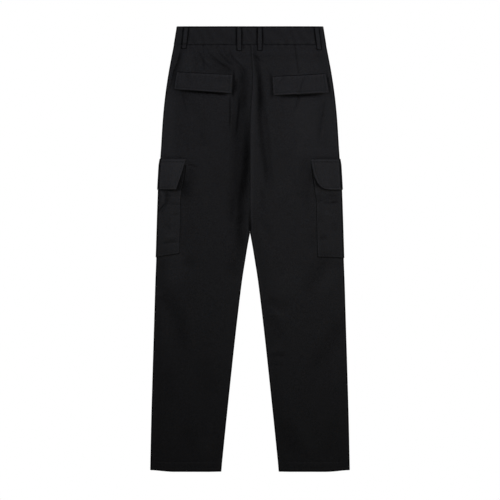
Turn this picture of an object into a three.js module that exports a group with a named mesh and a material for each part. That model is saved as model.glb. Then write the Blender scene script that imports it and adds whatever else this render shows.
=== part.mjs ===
// Cargo pants of black cotton twill, laid flat on their front with the back up.
// Millimetres. +Y runs to the waist, +X to the wearer's right, +Z up from the surface they lie on.
// Each cloth piece is a thin wall: rings are worked out from the sizes below and the walls follow them.
import * as THREE from 'three';

// Lengths along the body, as heights on Y.
const waistTop = 536;
const waistSeam = 492.5;
const crotch = 41;
const hemOuter = -528;
const hemInner = -531.6;
const hemDepth = 20;

// Cloth and the room between its layers.
const cloth = 1.4;
const doubleCloth = 2;
const seamGap = 0.3;
const laidHeight = 5.6;
const edgeRadius = laidHeight / 2;
const quarterTurn = (edgeRadius * Math.PI) / 2;
const softRise = 1.2;
const hemExtra = 0.8;

// Half the width across both side seams, and half the gap between the legs, at heights down the garment.
const sideLine = [
  { y: 560, half: 171 }, { y: 536, half: 175.4 }, { y: 491, half: 182.8 }, { y: 434, half: 193.8 },
  { y: 377, half: 202.6 }, { y: 319, half: 208.7 }, { y: 242, half: 213.7 }, { y: 205, half: 216 },
  { y: 146, half: 219.3 }, { y: 70, half: 222 }, { y: -17, half: 224.7 }, { y: -74, half: 227 },
  { y: -190, half: 230.5 }, { y: -305, half: 234 }, { y: -420, half: 237.2 }, { y: -560, half: 240 },
];
const inseamLine = [
  { y: crotch, gap: 0 }, { y: 12, gap: 5.4 }, { y: -17, gap: 10.2 }, { y: -74, gap: 19.1 },
  { y: -190, gap: 33.2 }, { y: -305, gap: 45.7 }, { y: -420, gap: 57.8 }, { y: -560, gap: 72 },
];
// The centre back seam wanders a little off the middle below the waistband.
const centreBackLine = [
  { y: 560, off: 1.5 }, { y: 492, off: 1.5 }, { y: 440, off: 5 }, { y: 400, off: 6 },
  { y: 340, off: 1.5 }, { y: 290, off: 0 }, { y: -560, off: 0 },
];
// How far each side seam sits in from the folded edge, on the back.
const sideSeamLine = [
  { y: 560, left: 17, right: 13 }, { y: 456, left: 16, right: 12 }, { y: 430, left: 11, right: 10 },
  { y: 392, left: 8, right: 8 }, { y: 336, left: 0, right: 0 }, { y: -560, left: 0, right: 0 },
];

// Folds on the back: from, to, the half width, and the depth below or height above the cloth around them.
const folds = [
  { x1: -6, y1: 390, x2: -12, y2: 225, reach: 20, depth: -2 },
  { x1: -12, y1: 300, x2: -9, y2: 60, reach: 24, depth: -2 },
  { x1: -22, y1: 440, x2: -32, y2: 250, reach: 13, depth: -1.5 },
  { x1: 6, y1: 470, x2: 9, y2: 120, reach: 15, depth: 1.7 },
  { x1: 9, y1: 480, x2: 32, y2: 290, reach: 14, depth: -1.9 },
  { x1: 28, y1: 340, x2: 44, y2: 100, reach: 17, depth: -1.8 },
  { x1: -46, y1: 400, x2: -50, y2: 240, reach: 14, depth: 0.9 },
  { x1: -210, y1: -100, x2: -140, y2: -240, reach: 24, depth: -1.3 },
  { x1: 195, y1: -30, x2: 140, y2: -85, reach: 22, depth: -1.2 },
  { x1: 215, y1: -180, x2: 165, y2: -270, reach: 24, depth: -1.2 },
  { x1: 92, y1: -420, x2: 125, y2: -500, reach: 22, depth: -1.1 },
];

// Cargo pockets, wrapped round each side seam: how far they reach on the back and on the hidden front.
const bagTop = 203;
const bagCloth = 1.2;
const bagFrontReach = 96;
const bagEdge = {
  left: [{ y: 560, x: 164.5 }, { y: 205, x: 164.5 }, { y: 110, x: 166.5 }, { y: -8, x: 168.7 }],
  right: [{ y: 560, x: 157 }, { y: 205, x: 157 }, { y: 73, x: 159 }, { y: -17, x: 162.5 }],
};
const bagBottom = { left: { inner: -8, outer: -17.5 }, right: { inner: -17, outer: -19.5 } };
const cargoFlapTop = 218.5;
const cargoFlapBottom = 144.5;
const cargoFlapEnd = {
  left: [{ y: 219, x: 152.4 }, { y: 146, x: 176.4 }, { y: 144, x: 178 }],
  right: [
    { y: 219, x: 146.4 }, { y: 184, x: 152 }, { y: 161, x: 161 },
    { y: 150, x: 170 }, { y: 146, x: 178 }, { y: 144, x: 184 },
  ],
};
const cargoFlapCurl = { left: 4, right: 1.5 };

// Flaps over the back pockets, by their corners on the back.
const backFlaps = {
  left: {
    topOuter: [-174.5, 428], topInner: [-41.5, 421.7],
    bottomInner: [-44.2, 376.8], bottomOuter: [-181.7, 386.4],
  },
  right: {
    topOuter: [180.7, 424], topInner: [52.8, 416.9],
    bottomInner: [55.9, 372], bottomOuter: [188.9, 378.5],
  },
};
const backFlapLift = 2.6;

// Belt loops: the middle of each at the waistband's top and at its lower end.
const loopWidth = 13.4;
const loopCloth = 1.2;
const loopsFrom = 477;
const backLoops = [
  { name: 'belt_loop_back_left_side', topX: -152.4, lowX: -158.4, lowY: 484 },
  { name: 'belt_loop_back_left', topX: -26.4, lowX: -26, lowY: 478.8 },
  { name: 'belt_loop_back_right', topX: 23.4, lowX: 23.6, lowY: 478.8 },
  { name: 'belt_loop_back_right_side', topX: 159, lowX: 166.2, lowY: 481.2 },
];
const frontLoops = [
  { name: 'belt_loop_front_left', topX: -84, lowX: -86, lowY: 480 },
  { name: 'belt_loop_front_right', topX: 84, lowX: 86, lowY: 480 },
];

// Fly and waist button on the hidden front.
const flyCloth = 1.2;
const flyBottom = 325;
const flyWidth = 38;
const buttonRadius = 8.5;
const buttonThick = 2;
const buttonX = -14;

// The waistband stands a little proud of the panels on both faces.
const bandProud = 0.4;

// Where the front lies on a thicker layer it is lifted off the surface by that layer.
const waistLift = buttonThick + seamGap + bandProud;
const bagLift = bagCloth + seamGap;
const flapLift = 2 * bagLift;
const flyLift = flyCloth + seamGap;
const liftFade = 26;
const liftMargin = 3;

const smooth = (t) => {
  const c = Math.min(1, Math.max(0, t));
  return c * c * (3 - 2 * c);
};
const lerp = (a, b, t) => a + (b - a) * t;
const steps = (from, to, count) => Array.from({ length: count + 1 }, (_, i) => lerp(from, to, i / count));

// A value read from a table by height, on a smooth curve through its rows, which run downwards.
function follow(rows, key, y) {
  const below = rows.findIndex((row) => row.y <= y);
  const first = below < 0 ? rows.length - 2 : Math.max(0, below - 1);
  const slope = (i) => {
    const before = rows[Math.max(0, i - 1)];
    const after = rows[Math.min(rows.length - 1, i + 1)];
    return (after[key] - before[key]) / (after.y - before.y);
  };
  const a = rows[first];
  const b = rows[first + 1];
  const span = b.y - a.y;
  const t = Math.min(1, Math.max(0, (y - a.y) / span));
  const t2 = t * t;
  const t3 = t2 * t;
  return (2 * t3 - 3 * t2 + 1) * a[key] + (t3 - 2 * t2 + t) * span * slope(first)
    + (3 * t2 - 2 * t3) * b[key] + (t3 - t2) * span * slope(first + 1);
}

const halfWidth = (y) => follow(sideLine, 'half', y);
const legGap = (y) => (y >= crotch ? 0 : follow(inseamLine, 'gap', y));
const sideName = (side) => (side < 0 ? 'left' : 'right');
const seamInset = (side, y) => Math.max(0, follow(sideSeamLine, sideName(side), y));

// How far the inner end of a half turns down into the inseam: none at the seat, a quarter turn on the legs.
const crotchRun = 95;
const crotchTurn = (y) => smooth((crotch + crotchRun - y) / crotchRun);

// Height of the underside: zero, but for the places where it lies on the button, the fly or a pocket.
function underside(x, y) {
  const inFromEdge = halfWidth(y) - Math.abs(x);
  const above = (start) => smooth((y - start + liftMargin + liftFade) / liftFade);
  const within = (distance) => 1 - smooth((distance - liftMargin) / liftFade);
  const nearPocket = within(inFromEdge - bagFrontReach);
  const alongBag = Math.min(above(bagBottom.right.outer), within(y - cargoFlapBottom));
  const alongFlap = Math.min(above(cargoFlapBottom), within(y - cargoFlapTop));
  const alongWaist = above(loopsFrom);
  const alongFly = Math.min(above(flyBottom), within(Math.abs(x) - flyWidth));
  return Math.max(waistLift * alongWaist, bagLift * alongBag * nearPocket,
    flapLift * alongFlap * nearPocket, flyLift * alongFly);
}

// The back's soft rise over its folded edges, with the folds laid into it.
const sideFade = 36;
const inseamFade = 30;
const foldEnds = 0.3;
function backRise(x, y) {
  const across = Math.abs(x);
  const fromSide = smooth((halfWidth(y) - across - edgeRadius) / sideFade);
  const fromInseam = lerp(1, smooth((across - legGap(y) - edgeRadius) / inseamFade), crotchTurn(y));
  const free = fromSide * fromInseam;
  let height = softRise * free;
  for (const fold of folds) {
    const runX = fold.x2 - fold.x1;
    const runY = fold.y2 - fold.y1;
    const along = ((x - fold.x1) * runX + (y - fold.y1) * runY) / (runX * runX + runY * runY);
    if (along <= 0 || along >= 1) continue;
    const off = Math.hypot(x - fold.x1 - along * runX, y - fold.y1 - along * runY);
    if (off >= fold.reach) continue;
    const bell = (1 + Math.cos((Math.PI * off) / fold.reach)) / 2;
    const ends = smooth(along / foldEnds) * smooth((1 - along) / foldEnds);
    height += fold.depth * bell * ends * free;
  }
  return height;
}

// Lengths of a half ring on one face: the flat stretch, and the turn into the inseam.
function spans(side, y, onBack) {
  const turn = (crotchTurn(y) * Math.PI) / 2;
  const bend = onBack ? side * follow(centreBackLine, 'off', y) * (1 - crotchTurn(y)) : 0;
  const inner = legGap(y) + seamGap / 2 + bend;
  const flat = halfWidth(y) - edgeRadius - inner - edgeRadius * Math.sin(turn);
  return { turn, inner, flat, whole: quarterTurn + flat + edgeRadius * turn };
}

// A point of the cloth's outer face. reach runs from the folded edge: above zero on the back, below on
// the front.
function facePoint(side, reach, y) {
  const onBack = reach >= 0;
  const { turn, inner, flat } = spans(side, y, onBack);
  const run = Math.abs(reach);
  let across;
  let rise;
  if (run < quarterTurn) {
    across = halfWidth(y) - edgeRadius + edgeRadius * Math.cos(run / edgeRadius);
    rise = edgeRadius * Math.sin(run / edgeRadius);
  } else if (run < quarterTurn + flat) {
    across = halfWidth(y) - edgeRadius - (run - quarterTurn);
    rise = edgeRadius;
  } else {
    const angle = (run - quarterTurn - flat) / edgeRadius;
    across = inner + edgeRadius * (Math.sin(turn) - Math.sin(angle));
    rise = edgeRadius * Math.cos(angle);
  }
  const x = side * across;
  const z = underside(x, y) + edgeRadius + (onBack ? rise + backRise(x, y) : -rise);
  return new THREE.Vector3(x, y, z);
}

function faceNormal(side, reach, y) {
  const nudge = 0.2;
  const ahead = facePoint(side, reach + nudge, y);
  const behind = facePoint(side, reach - nudge, y);
  const up = facePoint(side, reach, y + nudge);
  const down = facePoint(side, reach, y - nudge);
  return new THREE.Vector3().crossVectors(ahead.sub(behind), up.sub(down)).multiplyScalar(-side).normalize();
}

// Grid lines shared by every piece, so that what lies on a panel follows the panel's own points.
// The last lines before the inner end close in on the seam, or go round the turn of the inseam.
const turnSteps = 3;
const endStrip = 9;
const flatBack = steps(0, 1, 12).map((t) => 1 - (1 - t) ** 1.4);
const frontNear = [bagFrontReach / 2, bagFrontReach, bagFrontReach + 14, bagFrontReach + 28];
const frontRest = [0.35, 0.7, 1];

function endReaches(side, y, onBack) {
  const { turn, whole } = spans(side, y, onBack);
  const strip = lerp(endStrip, edgeRadius * turn, crotchTurn(y));
  const end = whole - (seamGap / 2) * crotchTurn(y);
  return steps(whole - strip, end, turnSteps);
}
function backReaches(side, y) {
  const edge = steps(0, quarterTurn, turnSteps).slice(0, -1);
  const ends = endReaches(side, y, true);
  const middle = flatBack.map((t) => lerp(quarterTurn, ends[0], t));
  return [...edge, ...middle, ...ends.slice(1)];
}
function frontReaches(side, y) {
  const edge = steps(0, quarterTurn, turnSteps);
  const near = frontNear.map((t) => quarterTurn + t);
  const ends = endReaches(side, y, false);
  const rest = frontRest.map((t) => lerp(near[near.length - 1], ends[0], t));
  return [...edge, ...near, ...rest, ...ends.slice(1)].map((t) => -t).reverse();
}
const ringReaches = (side, y) => [...frontReaches(side, y), ...backReaches(side, y).slice(1)];

const heights = [
  waistTop, 522, 507, waistSeam, 480, 466, 452, ...steps(436, 316, 6), ...steps(298, 258, 2),
  244, 231, 218.5, bagTop, ...steps(188, cargoFlapBottom, 2), 130, 117, ...steps(95, 20, 3), 0,
  -19.5, -34, -48, ...steps(-80, -460, 8), hemOuter + hemDepth + 1, hemOuter + hemDepth - 1, hemOuter,
];
// The flat front needs fewer of the rings than the back with its folds.
const plainHeights = new Set([278, 166.25, -127.5, -222.5, -317.5, -412.5]);
const ringCache = new Map();
function ring(side, y) {
  const key = `${side} ${y}`;
  if (!ringCache.has(key)) {
    const reaches = ringReaches(side, y);
    ringCache.set(key, reaches.map((reach) => ({
      reach, point: facePoint(side, reach, y), normal: faceNormal(side, reach, y),
    })));
  }
  return ringCache.get(key);
}

// A point on the faceted cloth, moved out by a distance: between the two nearest rings and grid lines.
function onCloth(side, reach, y, out) {
  const top = heights.findIndex((h) => h <= y + 1e-6);
  const j = Math.max(1, top < 0 ? heights.length - 1 : top);
  const t = (y - heights[j]) / (heights[j - 1] - heights[j]);
  const reaches = ringReaches(side, y);
  let i = reaches.findIndex((r) => r > reach);
  i = i < 1 ? (i === 0 ? 1 : reaches.length - 1) : i;
  while (i > 1 && reaches[i] - reaches[i - 1] < 1e-6) i -= 1;
  const s = (reach - reaches[i - 1]) / Math.max(1e-6, reaches[i] - reaches[i - 1]);
  const place = new THREE.Vector3();
  const normal = new THREE.Vector3();
  for (const [level, weight] of [[heights[j], 1 - t], [heights[j - 1], t]]) {
    for (const [cell, share] of [[i - 1, 1 - s], [i, s]]) {
      place.addScaledVector(ring(side, level)[cell].point, weight * share);
      normal.addScaledVector(ring(side, level)[cell].normal, weight * share);
    }
  }
  return place.addScaledVector(normal.normalize(), out);
}

// The reach on the back or front that lies over a given X.
function reachOver(side, x, y, onBack = true) {
  const reach = quarterTurn + halfWidth(y) - edgeRadius - side * x;
  return onBack ? reach : -reach;
}

// A closed wall between an outer and an inner grid of points, both indexed [row][column].
function wall(name, outer, inner, material) {
  const rows = outer.length;
  const columns = outer[0].length;
  const points = [...outer.flat(), ...inner.flat()];
  const at = (layer, j, i) => layer * rows * columns + j * columns + i;
  const faces = [];
  const quad = (a, b, c, d) => faces.push(a, b, c, a, c, d);
  for (let j = 0; j < rows - 1; j += 1) {
    for (let i = 0; i < columns - 1; i += 1) {
      quad(at(0, j, i), at(0, j, i + 1), at(0, j + 1, i + 1), at(0, j + 1, i));
      quad(at(1, j, i), at(1, j + 1, i), at(1, j + 1, i + 1), at(1, j, i + 1));
    }
    quad(at(0, j, 0), at(0, j + 1, 0), at(1, j + 1, 0), at(1, j, 0));
    quad(at(0, j + 1, columns - 1), at(0, j, columns - 1), at(1, j, columns - 1), at(1, j + 1, columns - 1));
  }
  for (let i = 0; i < columns - 1; i += 1) {
    quad(at(0, 0, i + 1), at(0, 0, i), at(1, 0, i), at(1, 0, i + 1));
    quad(at(0, rows - 1, i), at(0, rows - 1, i + 1), at(1, rows - 1, i + 1), at(1, rows - 1, i));
  }
  let volume = 0;
  for (let f = 0; f < faces.length; f += 3) {
    const [a, b, c] = faces.slice(f, f + 3).map((index) => points[index]);
    volume += a.dot(new THREE.Vector3().crossVectors(b, c));
  }
  if (volume < 0) faces.reverse();
  const geometry = new THREE.BufferGeometry().setFromPoints(points);
  geometry.setIndex(faces);
  geometry.computeVertexNormals();
  const mesh = new THREE.Mesh(geometry, material);
  mesh.name = name;
  return mesh;
}

const twill = new THREE.MeshStandardMaterial({ color: 0x1b1c1e, roughness: 0.92, metalness: 0 });
const flapTwill = new THREE.MeshStandardMaterial({ color: 0x202123, roughness: 0.9, metalness: 0 });
const buttonPlastic = new THREE.MeshStandardMaterial({ color: 0x151516, roughness: 0.45, metalness: 0 });

// The hem edge bows: it hangs a little lower towards the inseam.
function hemDrop(x, y) {
  const bowRun = 60;
  const along = smooth((halfWidth(y) - Math.abs(x)) / bowRun);
  return y <= hemOuter ? (hemInner - hemOuter) * along : 0;
}

// Back or front panel of one leg, from the waistband seam to the hem, doubled inside at the turned-up hem.
// The front wraps a little way on to the back at the hip, where the side seam sits in from the folded edge.
const wrapSteps = 6;
const seamRun = 24;
function panelReaches(side, y, onBack) {
  const inset = seamInset(side, y);
  const seam = inset + (quarterTurn - edgeRadius) * smooth(inset / 4);
  if (onBack) {
    const last = quarterTurn + seamRun;
    return backReaches(side, y).map((reach) => (
      reach < last ? lerp(seam + seamGap / 2, last, reach / last) : reach));
  }
  const flat = frontReaches(side, y).filter((reach) => reach < -quarterTurn - 1);
  return [...flat, ...steps(-quarterTurn, seam - seamGap / 2, wrapSteps)];
}
function panel(name, side, onBack) {
  const below = heights.filter((y) => y < waistSeam - 1 && (onBack || !plainHeights.has(y)));
  const levels = [waistSeam - seamGap, ...below];
  const layer = (depthAt) => levels.map((y) => panelReaches(side, y, onBack).map((reach) => {
    const p = onCloth(side, reach, y, depthAt(y));
    p.y = y + hemDrop(p.x, y);
    return p;
  }));
  const thick = (y) => (y < hemOuter + hemDepth ? cloth + hemExtra : cloth);
  return wall(name, layer(() => 0), layer((y) => -thick(y)), twill);
}

// A strip of cloth over the panels of one side: reachesAt gives its lines across, outAt its height over
// the cloth. On the underside it never goes below the surface that the garment lies on.
function strip(name, side, levels, reachesAt, outAt, thick, material) {
  const layer = (extra) => levels.map((level) => {
    const reaches = reachesAt(level);
    return reaches.map((reach, i) => {
      const y = typeof level === 'number' ? level : level(reach);
      const p = onCloth(side, reach, y, outAt(reach, y, i / (reaches.length - 1)) + extra);
      p.z = Math.max(p.z, 0);
      return p;
    });
  });
  return wall(name, layer(thick), layer(0), material);
}
const leastStep = 4;
const between = (from, to) => [
  from, ...heights.filter((y) => y > from + leastStep && y < to - leastStep).reverse(), to,
];

// Waistband: one piece across the back from side seam to side seam, and two that meet at the front.
const bandLevels = [waistSeam, ...heights.filter((y) => y > waistSeam).reverse()];
function bandBack() {
  const layer = (out) => bandLevels.map((y) => {
    const half = (side) => panelReaches(side, y, true).map((reach) => onCloth(side, reach, y, out));
    return [...half(-1), ...half(1).slice(0, -1).reverse()];
  });
  return wall('waistband_back', layer(bandProud), layer(bandProud - doubleCloth), twill);
}
function bandFront(side) {
  const reachesAt = (y) => panelReaches(side, y, false);
  const out = () => bandProud - doubleCloth;
  return strip(`waistband_front_${sideName(side)}`, side, bandLevels, reachesAt, out, doubleCloth, twill);
}

// Belt loop: a narrow strip, close to the band at its two sewn ends and free of it between them.
function beltLoop(loop, onBack, arch) {
  const side = Math.sign(loop.topX);
  const top = waistTop - 0.5;
  const bandStart = waistSeam - 3;
  const levels = [loop.lowY, bandStart, ...steps(waistSeam + 4, top, 5)];
  const reachesAt = (y) => {
    const middle = lerp(loop.lowX, loop.topX, (y - loop.lowY) / (top - loop.lowY));
    return [-0.5, 0, 0.5].map((k) => reachOver(side, middle + k * loopWidth, y, onBack));
  };
  const over = seamGap + bandProud;
  const outAt = (reach, y) => {
    if (y < bandStart) return lerp(seamGap, over, (y - loop.lowY) / (bandStart - loop.lowY));
    return over + arch * Math.sin(Math.PI * Math.max(0, (y - waistSeam) / (top - waistSeam)));
  };
  return strip(loop.name, side, levels, reachesAt, outAt, loopCloth, twill);
}

// Flap over a back pocket: sewn along its top edge, standing off the seat along its lower edge.
function backFlap(side) {
  const corner = backFlaps[sideName(side)];
  const across = 8;
  const down = 4;
  const sewn = 0.45;
  const layer = (extra) => steps(1, 0, down).map((t) => steps(0, 1, across).map((s) => {
    const at = (k) => lerp(lerp(corner.topOuter[k], corner.topInner[k], s),
      lerp(corner.bottomOuter[k], corner.bottomInner[k], s), t);
    const lift = sewn + (backFlapLift - sewn) * t ** 1.3;
    return onCloth(side, reachOver(side, at(0), at(1)), at(1), lift + extra);
  }));
  return wall(`back_pocket_flap_${sideName(side)}`, layer(doubleCloth), layer(0), flapTwill);
}

// Lines across a cargo pocket piece, from its edge on the hidden front round the side seam to the back.
function wrapReaches(side, y, edgeX) {
  const edge = reachOver(side, side * edgeX, y);
  const onFront = [-quarterTurn - bagFrontReach, -quarterTurn - bagFrontReach / 2];
  return [...onFront, ...steps(-quarterTurn, quarterTurn, 2 * turnSteps),
    ...steps(quarterTurn, edge, 3).slice(1)];
}
function cargoPocket(side) {
  const which = sideName(side);
  const { inner, outer } = bagBottom[which];
  const bottomRun = 60;
  const bottom = (reach) => lerp(outer, inner, Math.min(1, Math.max(0, reach / bottomRun)));
  const levels = [bottom, ...between(-4, bagTop).slice(1)];
  const reachesAt = (level) => {
    const y = typeof level === 'number' ? level : outer;
    return wrapReaches(side, y, follow(bagEdge[which], 'x', y));
  };
  return strip(`cargo_pocket_${which}`, side, levels, reachesAt, () => seamGap, bagCloth, twill);
}
function cargoFlap(side) {
  const which = sideName(side);
  const clear = 2 * seamGap + bagCloth;
  const sewn = 0.35;
  const levels = between(cargoFlapBottom, cargoFlapTop);
  const reachesAt = (y) => wrapReaches(side, y, follow(cargoFlapEnd[which], 'x', y));
  const outAt = (reach, y, across) => {
    const over = lerp(sewn, clear, Math.min(1, (cargoFlapTop - y) / (cargoFlapTop - bagTop - 1)));
    const down = (cargoFlapTop - y) / (cargoFlapTop - cargoFlapBottom);
    return over + cargoFlapCurl[which] * down ** 2 * smooth((across - 0.7) / 0.3);
  };
  return strip(`cargo_flap_${which}`, side, levels, reachesAt, outAt, bagCloth, flapTwill);
}

// Fly: the facing of the overlap at the centre front, with a curved lower corner.
function fly() {
  const side = -1;
  const corner = 30;
  const middle = 0.6;
  const reachesAt = (y) => {
    const into = Math.min(1, (y - flyBottom + 3) / corner);
    const width = flyWidth * Math.sqrt(1 - (1 - into) ** 2);
    return steps(width, middle, 3).map((x) => reachOver(side, side * x, y, false));
  };
  const levels = [flyBottom, flyBottom + 5, ...between(flyBottom + 8, waistSeam - 1).slice(1)];
  return strip('fly', side, levels, reachesAt, () => seamGap, flyCloth, twill);
}

// Waist button: a dished plastic disc sewn under the band, its back to the cloth.
function waistButton() {
  const profile = [
    [0, 0.5], [5.6, 0.5], [6.4, 0], [7.6, 0], [buttonRadius, 0.7], [buttonRadius, buttonThick - 0.5],
    [buttonRadius - 0.7, buttonThick], [0, buttonThick],
  ].map(([r, z]) => new THREE.Vector2(r, z));
  const mesh = new THREE.Mesh(new THREE.LatheGeometry(profile, 20).rotateX(Math.PI / 2), buttonPlastic);
  mesh.position.set(buttonX, (waistTop + waistSeam) / 2, 0);
  mesh.name = 'waist_button';
  return mesh;
}

const group = new THREE.Group();
group.position.y = -(waistTop + hemInner) / 2;
for (const side of [-1, 1]) {
  group.add(panel(`front_${sideName(side)}`, side, false));
  group.add(panel(`back_${sideName(side)}`, side, true));
  group.add(bandFront(side), backFlap(side), cargoPocket(side), cargoFlap(side));
}
group.add(bandBack(), fly(), waistButton());
for (const loop of backLoops) group.add(beltLoop(loop, true, 1.4));
for (const loop of frontLoops) group.add(beltLoop(loop, false, 0.4));

export default group;
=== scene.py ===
"""Black cotton twill cargo pants, laid flat on their front with the back up.

Lengths are millimetres. X runs to the wearer's right, Z up from the surface, and Y up to the waist from
the middle of the picture. Points become metres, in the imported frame, when a mesh is made.
"""
import math

import bpy
import numpy as np
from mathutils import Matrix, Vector


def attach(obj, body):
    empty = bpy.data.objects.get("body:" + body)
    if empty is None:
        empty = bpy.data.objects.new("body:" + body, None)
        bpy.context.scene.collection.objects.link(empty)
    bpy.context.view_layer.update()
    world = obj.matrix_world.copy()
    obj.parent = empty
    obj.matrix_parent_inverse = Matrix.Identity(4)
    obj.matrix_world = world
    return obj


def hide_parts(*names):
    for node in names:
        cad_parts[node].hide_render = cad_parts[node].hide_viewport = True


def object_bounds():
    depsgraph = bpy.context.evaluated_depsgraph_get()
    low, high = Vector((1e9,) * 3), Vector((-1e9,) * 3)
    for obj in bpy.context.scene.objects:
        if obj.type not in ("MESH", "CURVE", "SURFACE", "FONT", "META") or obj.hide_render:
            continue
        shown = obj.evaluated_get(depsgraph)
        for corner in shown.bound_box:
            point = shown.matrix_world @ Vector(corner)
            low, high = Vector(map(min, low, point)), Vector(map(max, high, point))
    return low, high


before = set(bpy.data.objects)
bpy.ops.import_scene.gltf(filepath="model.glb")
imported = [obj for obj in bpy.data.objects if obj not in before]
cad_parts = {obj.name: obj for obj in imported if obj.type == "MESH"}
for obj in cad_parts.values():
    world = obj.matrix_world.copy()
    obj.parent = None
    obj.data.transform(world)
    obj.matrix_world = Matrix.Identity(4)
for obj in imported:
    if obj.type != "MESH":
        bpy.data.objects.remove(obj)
cad_low, cad_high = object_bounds()


# Camera. The garment is seen from straight above and from far off, so that it looks flat. The picture
# shows a square 1.2 m wide, and its middle lies a little above the middle of the garment's box.
waist_top = 536
origin_y = waist_top - 1000 * cad_high.y
picture_width = 1.2
camera_height = 4.5

lens = bpy.data.cameras.new("camera")
lens.sensor_width = 36
lens.lens = lens.sensor_width * camera_height / picture_width
camera = bpy.data.objects.new("camera", lens)
camera.location = (0, -origin_y / 1000, camera_height)
bpy.context.collection.objects.link(camera)
bpy.context.scene.camera = camera
bpy.context.scene.view_settings.view_transform = "Standard"


# Floor and studio light. The floor is a plain glowing white that casts no light on the garment. Two cool
# soft boxes stand beyond the waist, a third over the right thigh, and a weak sky fills in, a little warmer.
sky_strength = 0.109
sky_colour = (1, 0.98, 0.85, 1)
floor_half = 20
floor_drop = 0.0004


class Value:
    """An output socket in a node tree. Arithmetic on it adds the Math nodes that work it out."""

    def __init__(self, tree, socket=None):
        self.tree = tree
        self.socket = socket

    def node(self, kind, settings=None, sockets=None, out=0):
        """Adds a node, sets its settings and then its sockets, and gives one of its outputs."""
        made = self.tree.nodes.new(kind)
        for name, setting in (settings or {}).items():
            setattr(made, name, setting)
        for key, given in (sockets or {}).items():
            if isinstance(given, Value):
                self.tree.links.new(given.socket, made.inputs[key])
            else:
                made.inputs[key].default_value = given
        return Value(self.tree, made.outputs[out] if made.outputs else None)

    def math(self, operation, *others):
        return self.node("ShaderNodeMath", {"operation": operation}, dict(enumerate((self, *others))))

    def __add__(self, other):
        return self.math("ADD", other)

    def __sub__(self, other):
        return self.math("SUBTRACT", other)

    def __mul__(self, other):
        return self.math("MULTIPLY", other)


def new_material(name):
    """A material with only its output node left, and a Value to start its tree from."""
    material = bpy.data.materials.new(name)
    material.use_nodes = True
    material.node_tree.nodes.clear()
    return material, Value(material.node_tree)


def painted(start, shader):
    """Sends a shader to the surface."""
    start.node("ShaderNodeOutputMaterial", sockets={"Surface": shader})


floor_paint, start = new_material("floor_paint")
painted(start, start.node("ShaderNodeBsdfPrincipled", sockets={
    "Base Color": (0, 0, 0, 1), "Roughness": 1.0, "Specular IOR Level": 0.0,
    "Emission Color": (1, 1, 1, 1), "Emission Strength": 1.0}))
floor_mesh = bpy.data.meshes.new("floor")
floor_mesh.from_pydata([(x * floor_half, y * floor_half, -floor_drop) for x, y in
                        ((-1, -1), (1, -1), (1, 1), (-1, 1))], [], [(0, 1, 2, 3)])
floor_mesh.materials.append(floor_paint)
floor = bpy.data.objects.new("floor", floor_mesh)
floor.visible_diffuse = False
floor.visible_glossy = False
bpy.context.collection.objects.link(floor)

sky = bpy.data.worlds.new("studio")
sky.use_nodes = True
sky.node_tree.nodes.clear()
bpy.context.scene.world = sky
start = Value(sky.node_tree)
upward = start.node("ShaderNodeSeparateXYZ", sockets={
    0: start.node("ShaderNodeTexCoord", out="Generated")}, out="Z").math("GREATER_THAN", 0.0)
fill = start.node("ShaderNodeBackground", sockets={"Color": sky_colour, "Strength": upward * sky_strength})
white = start.node("ShaderNodeBackground", sockets={"Color": (1, 1, 1, 1), "Strength": 1.0})
start.node("ShaderNodeOutputWorld", sockets={"Surface": start.node("ShaderNodeMixShader", sockets={
    0: start.node("ShaderNodeLightPath", out="Is Camera Ray"), 1: fill, 2: white})})


def soft_light(name, place, aim, size, watts, colour):
    """A round soft box of that size, in metres, turned to its aim."""
    data = bpy.data.lights.new(name, "AREA")
    data.shape = "DISK"
    data.size = size
    data.energy = watts
    data.color = colour
    lamp = bpy.data.objects.new(name, data)
    lamp.location = place
    lamp.rotation_euler = (Vector(aim) - Vector(place)).to_track_quat("-Z", "Y").to_euler()
    lamp.visible_camera = False
    bpy.context.collection.objects.link(lamp)


beyond_waist = {"aim": (0, -0.6, 0), "size": 0.35, "watts": 5.1, "colour": (0.965, 0.985, 1.14)}
soft_light("right_light", place=(0.66, 0.9, 0.72), **beyond_waist)
soft_light("left_light", place=(-0.64, 0.93, 0.76), **beyond_waist)
soft_light("thigh_light", place=(0.3, 0.14, 0.82), aim=(0.15, 0, 0), size=0.3, watts=3.0,
           colour=(1, 0.995, 0.96))


# Back leg panels. Each is cut in one from the waistband to the turned-up hem, of 1.4 mm black cotton
# twill. They meet in the centre back seam, with a dart in each, and lie over the front in soft folds.
crotch = 41
waist_seam = 492.5
hem_outer = -528
hem_inner = -531.6
hem_depth = 20
cloth = 1.4
hem_extra = 0.8
seam_gap = 0.3
edge_radius = 2.8
quarter_turn = edge_radius * math.pi / 2
soft_rise = 3.4
crotch_run = 95

# Half the width across the side folds, half the gap between the legs, the way that the centre back seam
# wanders off the middle, and how far each side seam sits in from its fold. All are by height.
side_line = [
    (560, 171), (536, 175.4), (491, 182.8), (434, 193.8), (377, 202.6), (319, 208.7), (242, 213.7),
    (205, 216), (146, 219.3), (70, 222), (-17, 224.7), (-74, 227), (-190, 230.5), (-305, 234),
    (-420, 237.2), (-560, 240)]
inseam_line = [
    (crotch, 0), (12, 5.4), (-17, 10.2), (-74, 19.1), (-190, 33.2), (-305, 45.7), (-420, 57.8), (-560, 72)]
centre_back_line = [(560, 1.5), (492, 1.5), (440, 5), (400, 6), (340, 1.5), (290, 0), (-560, 0)]
side_seam_line = {
    -1: [(560, 17), (456, 16), (430, 11), (392, 8), (336, 0), (-560, 0)],
    1: [(560, 13), (456, 12), (430, 10), (392, 8), (336, 0), (-560, 0)]}

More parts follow.
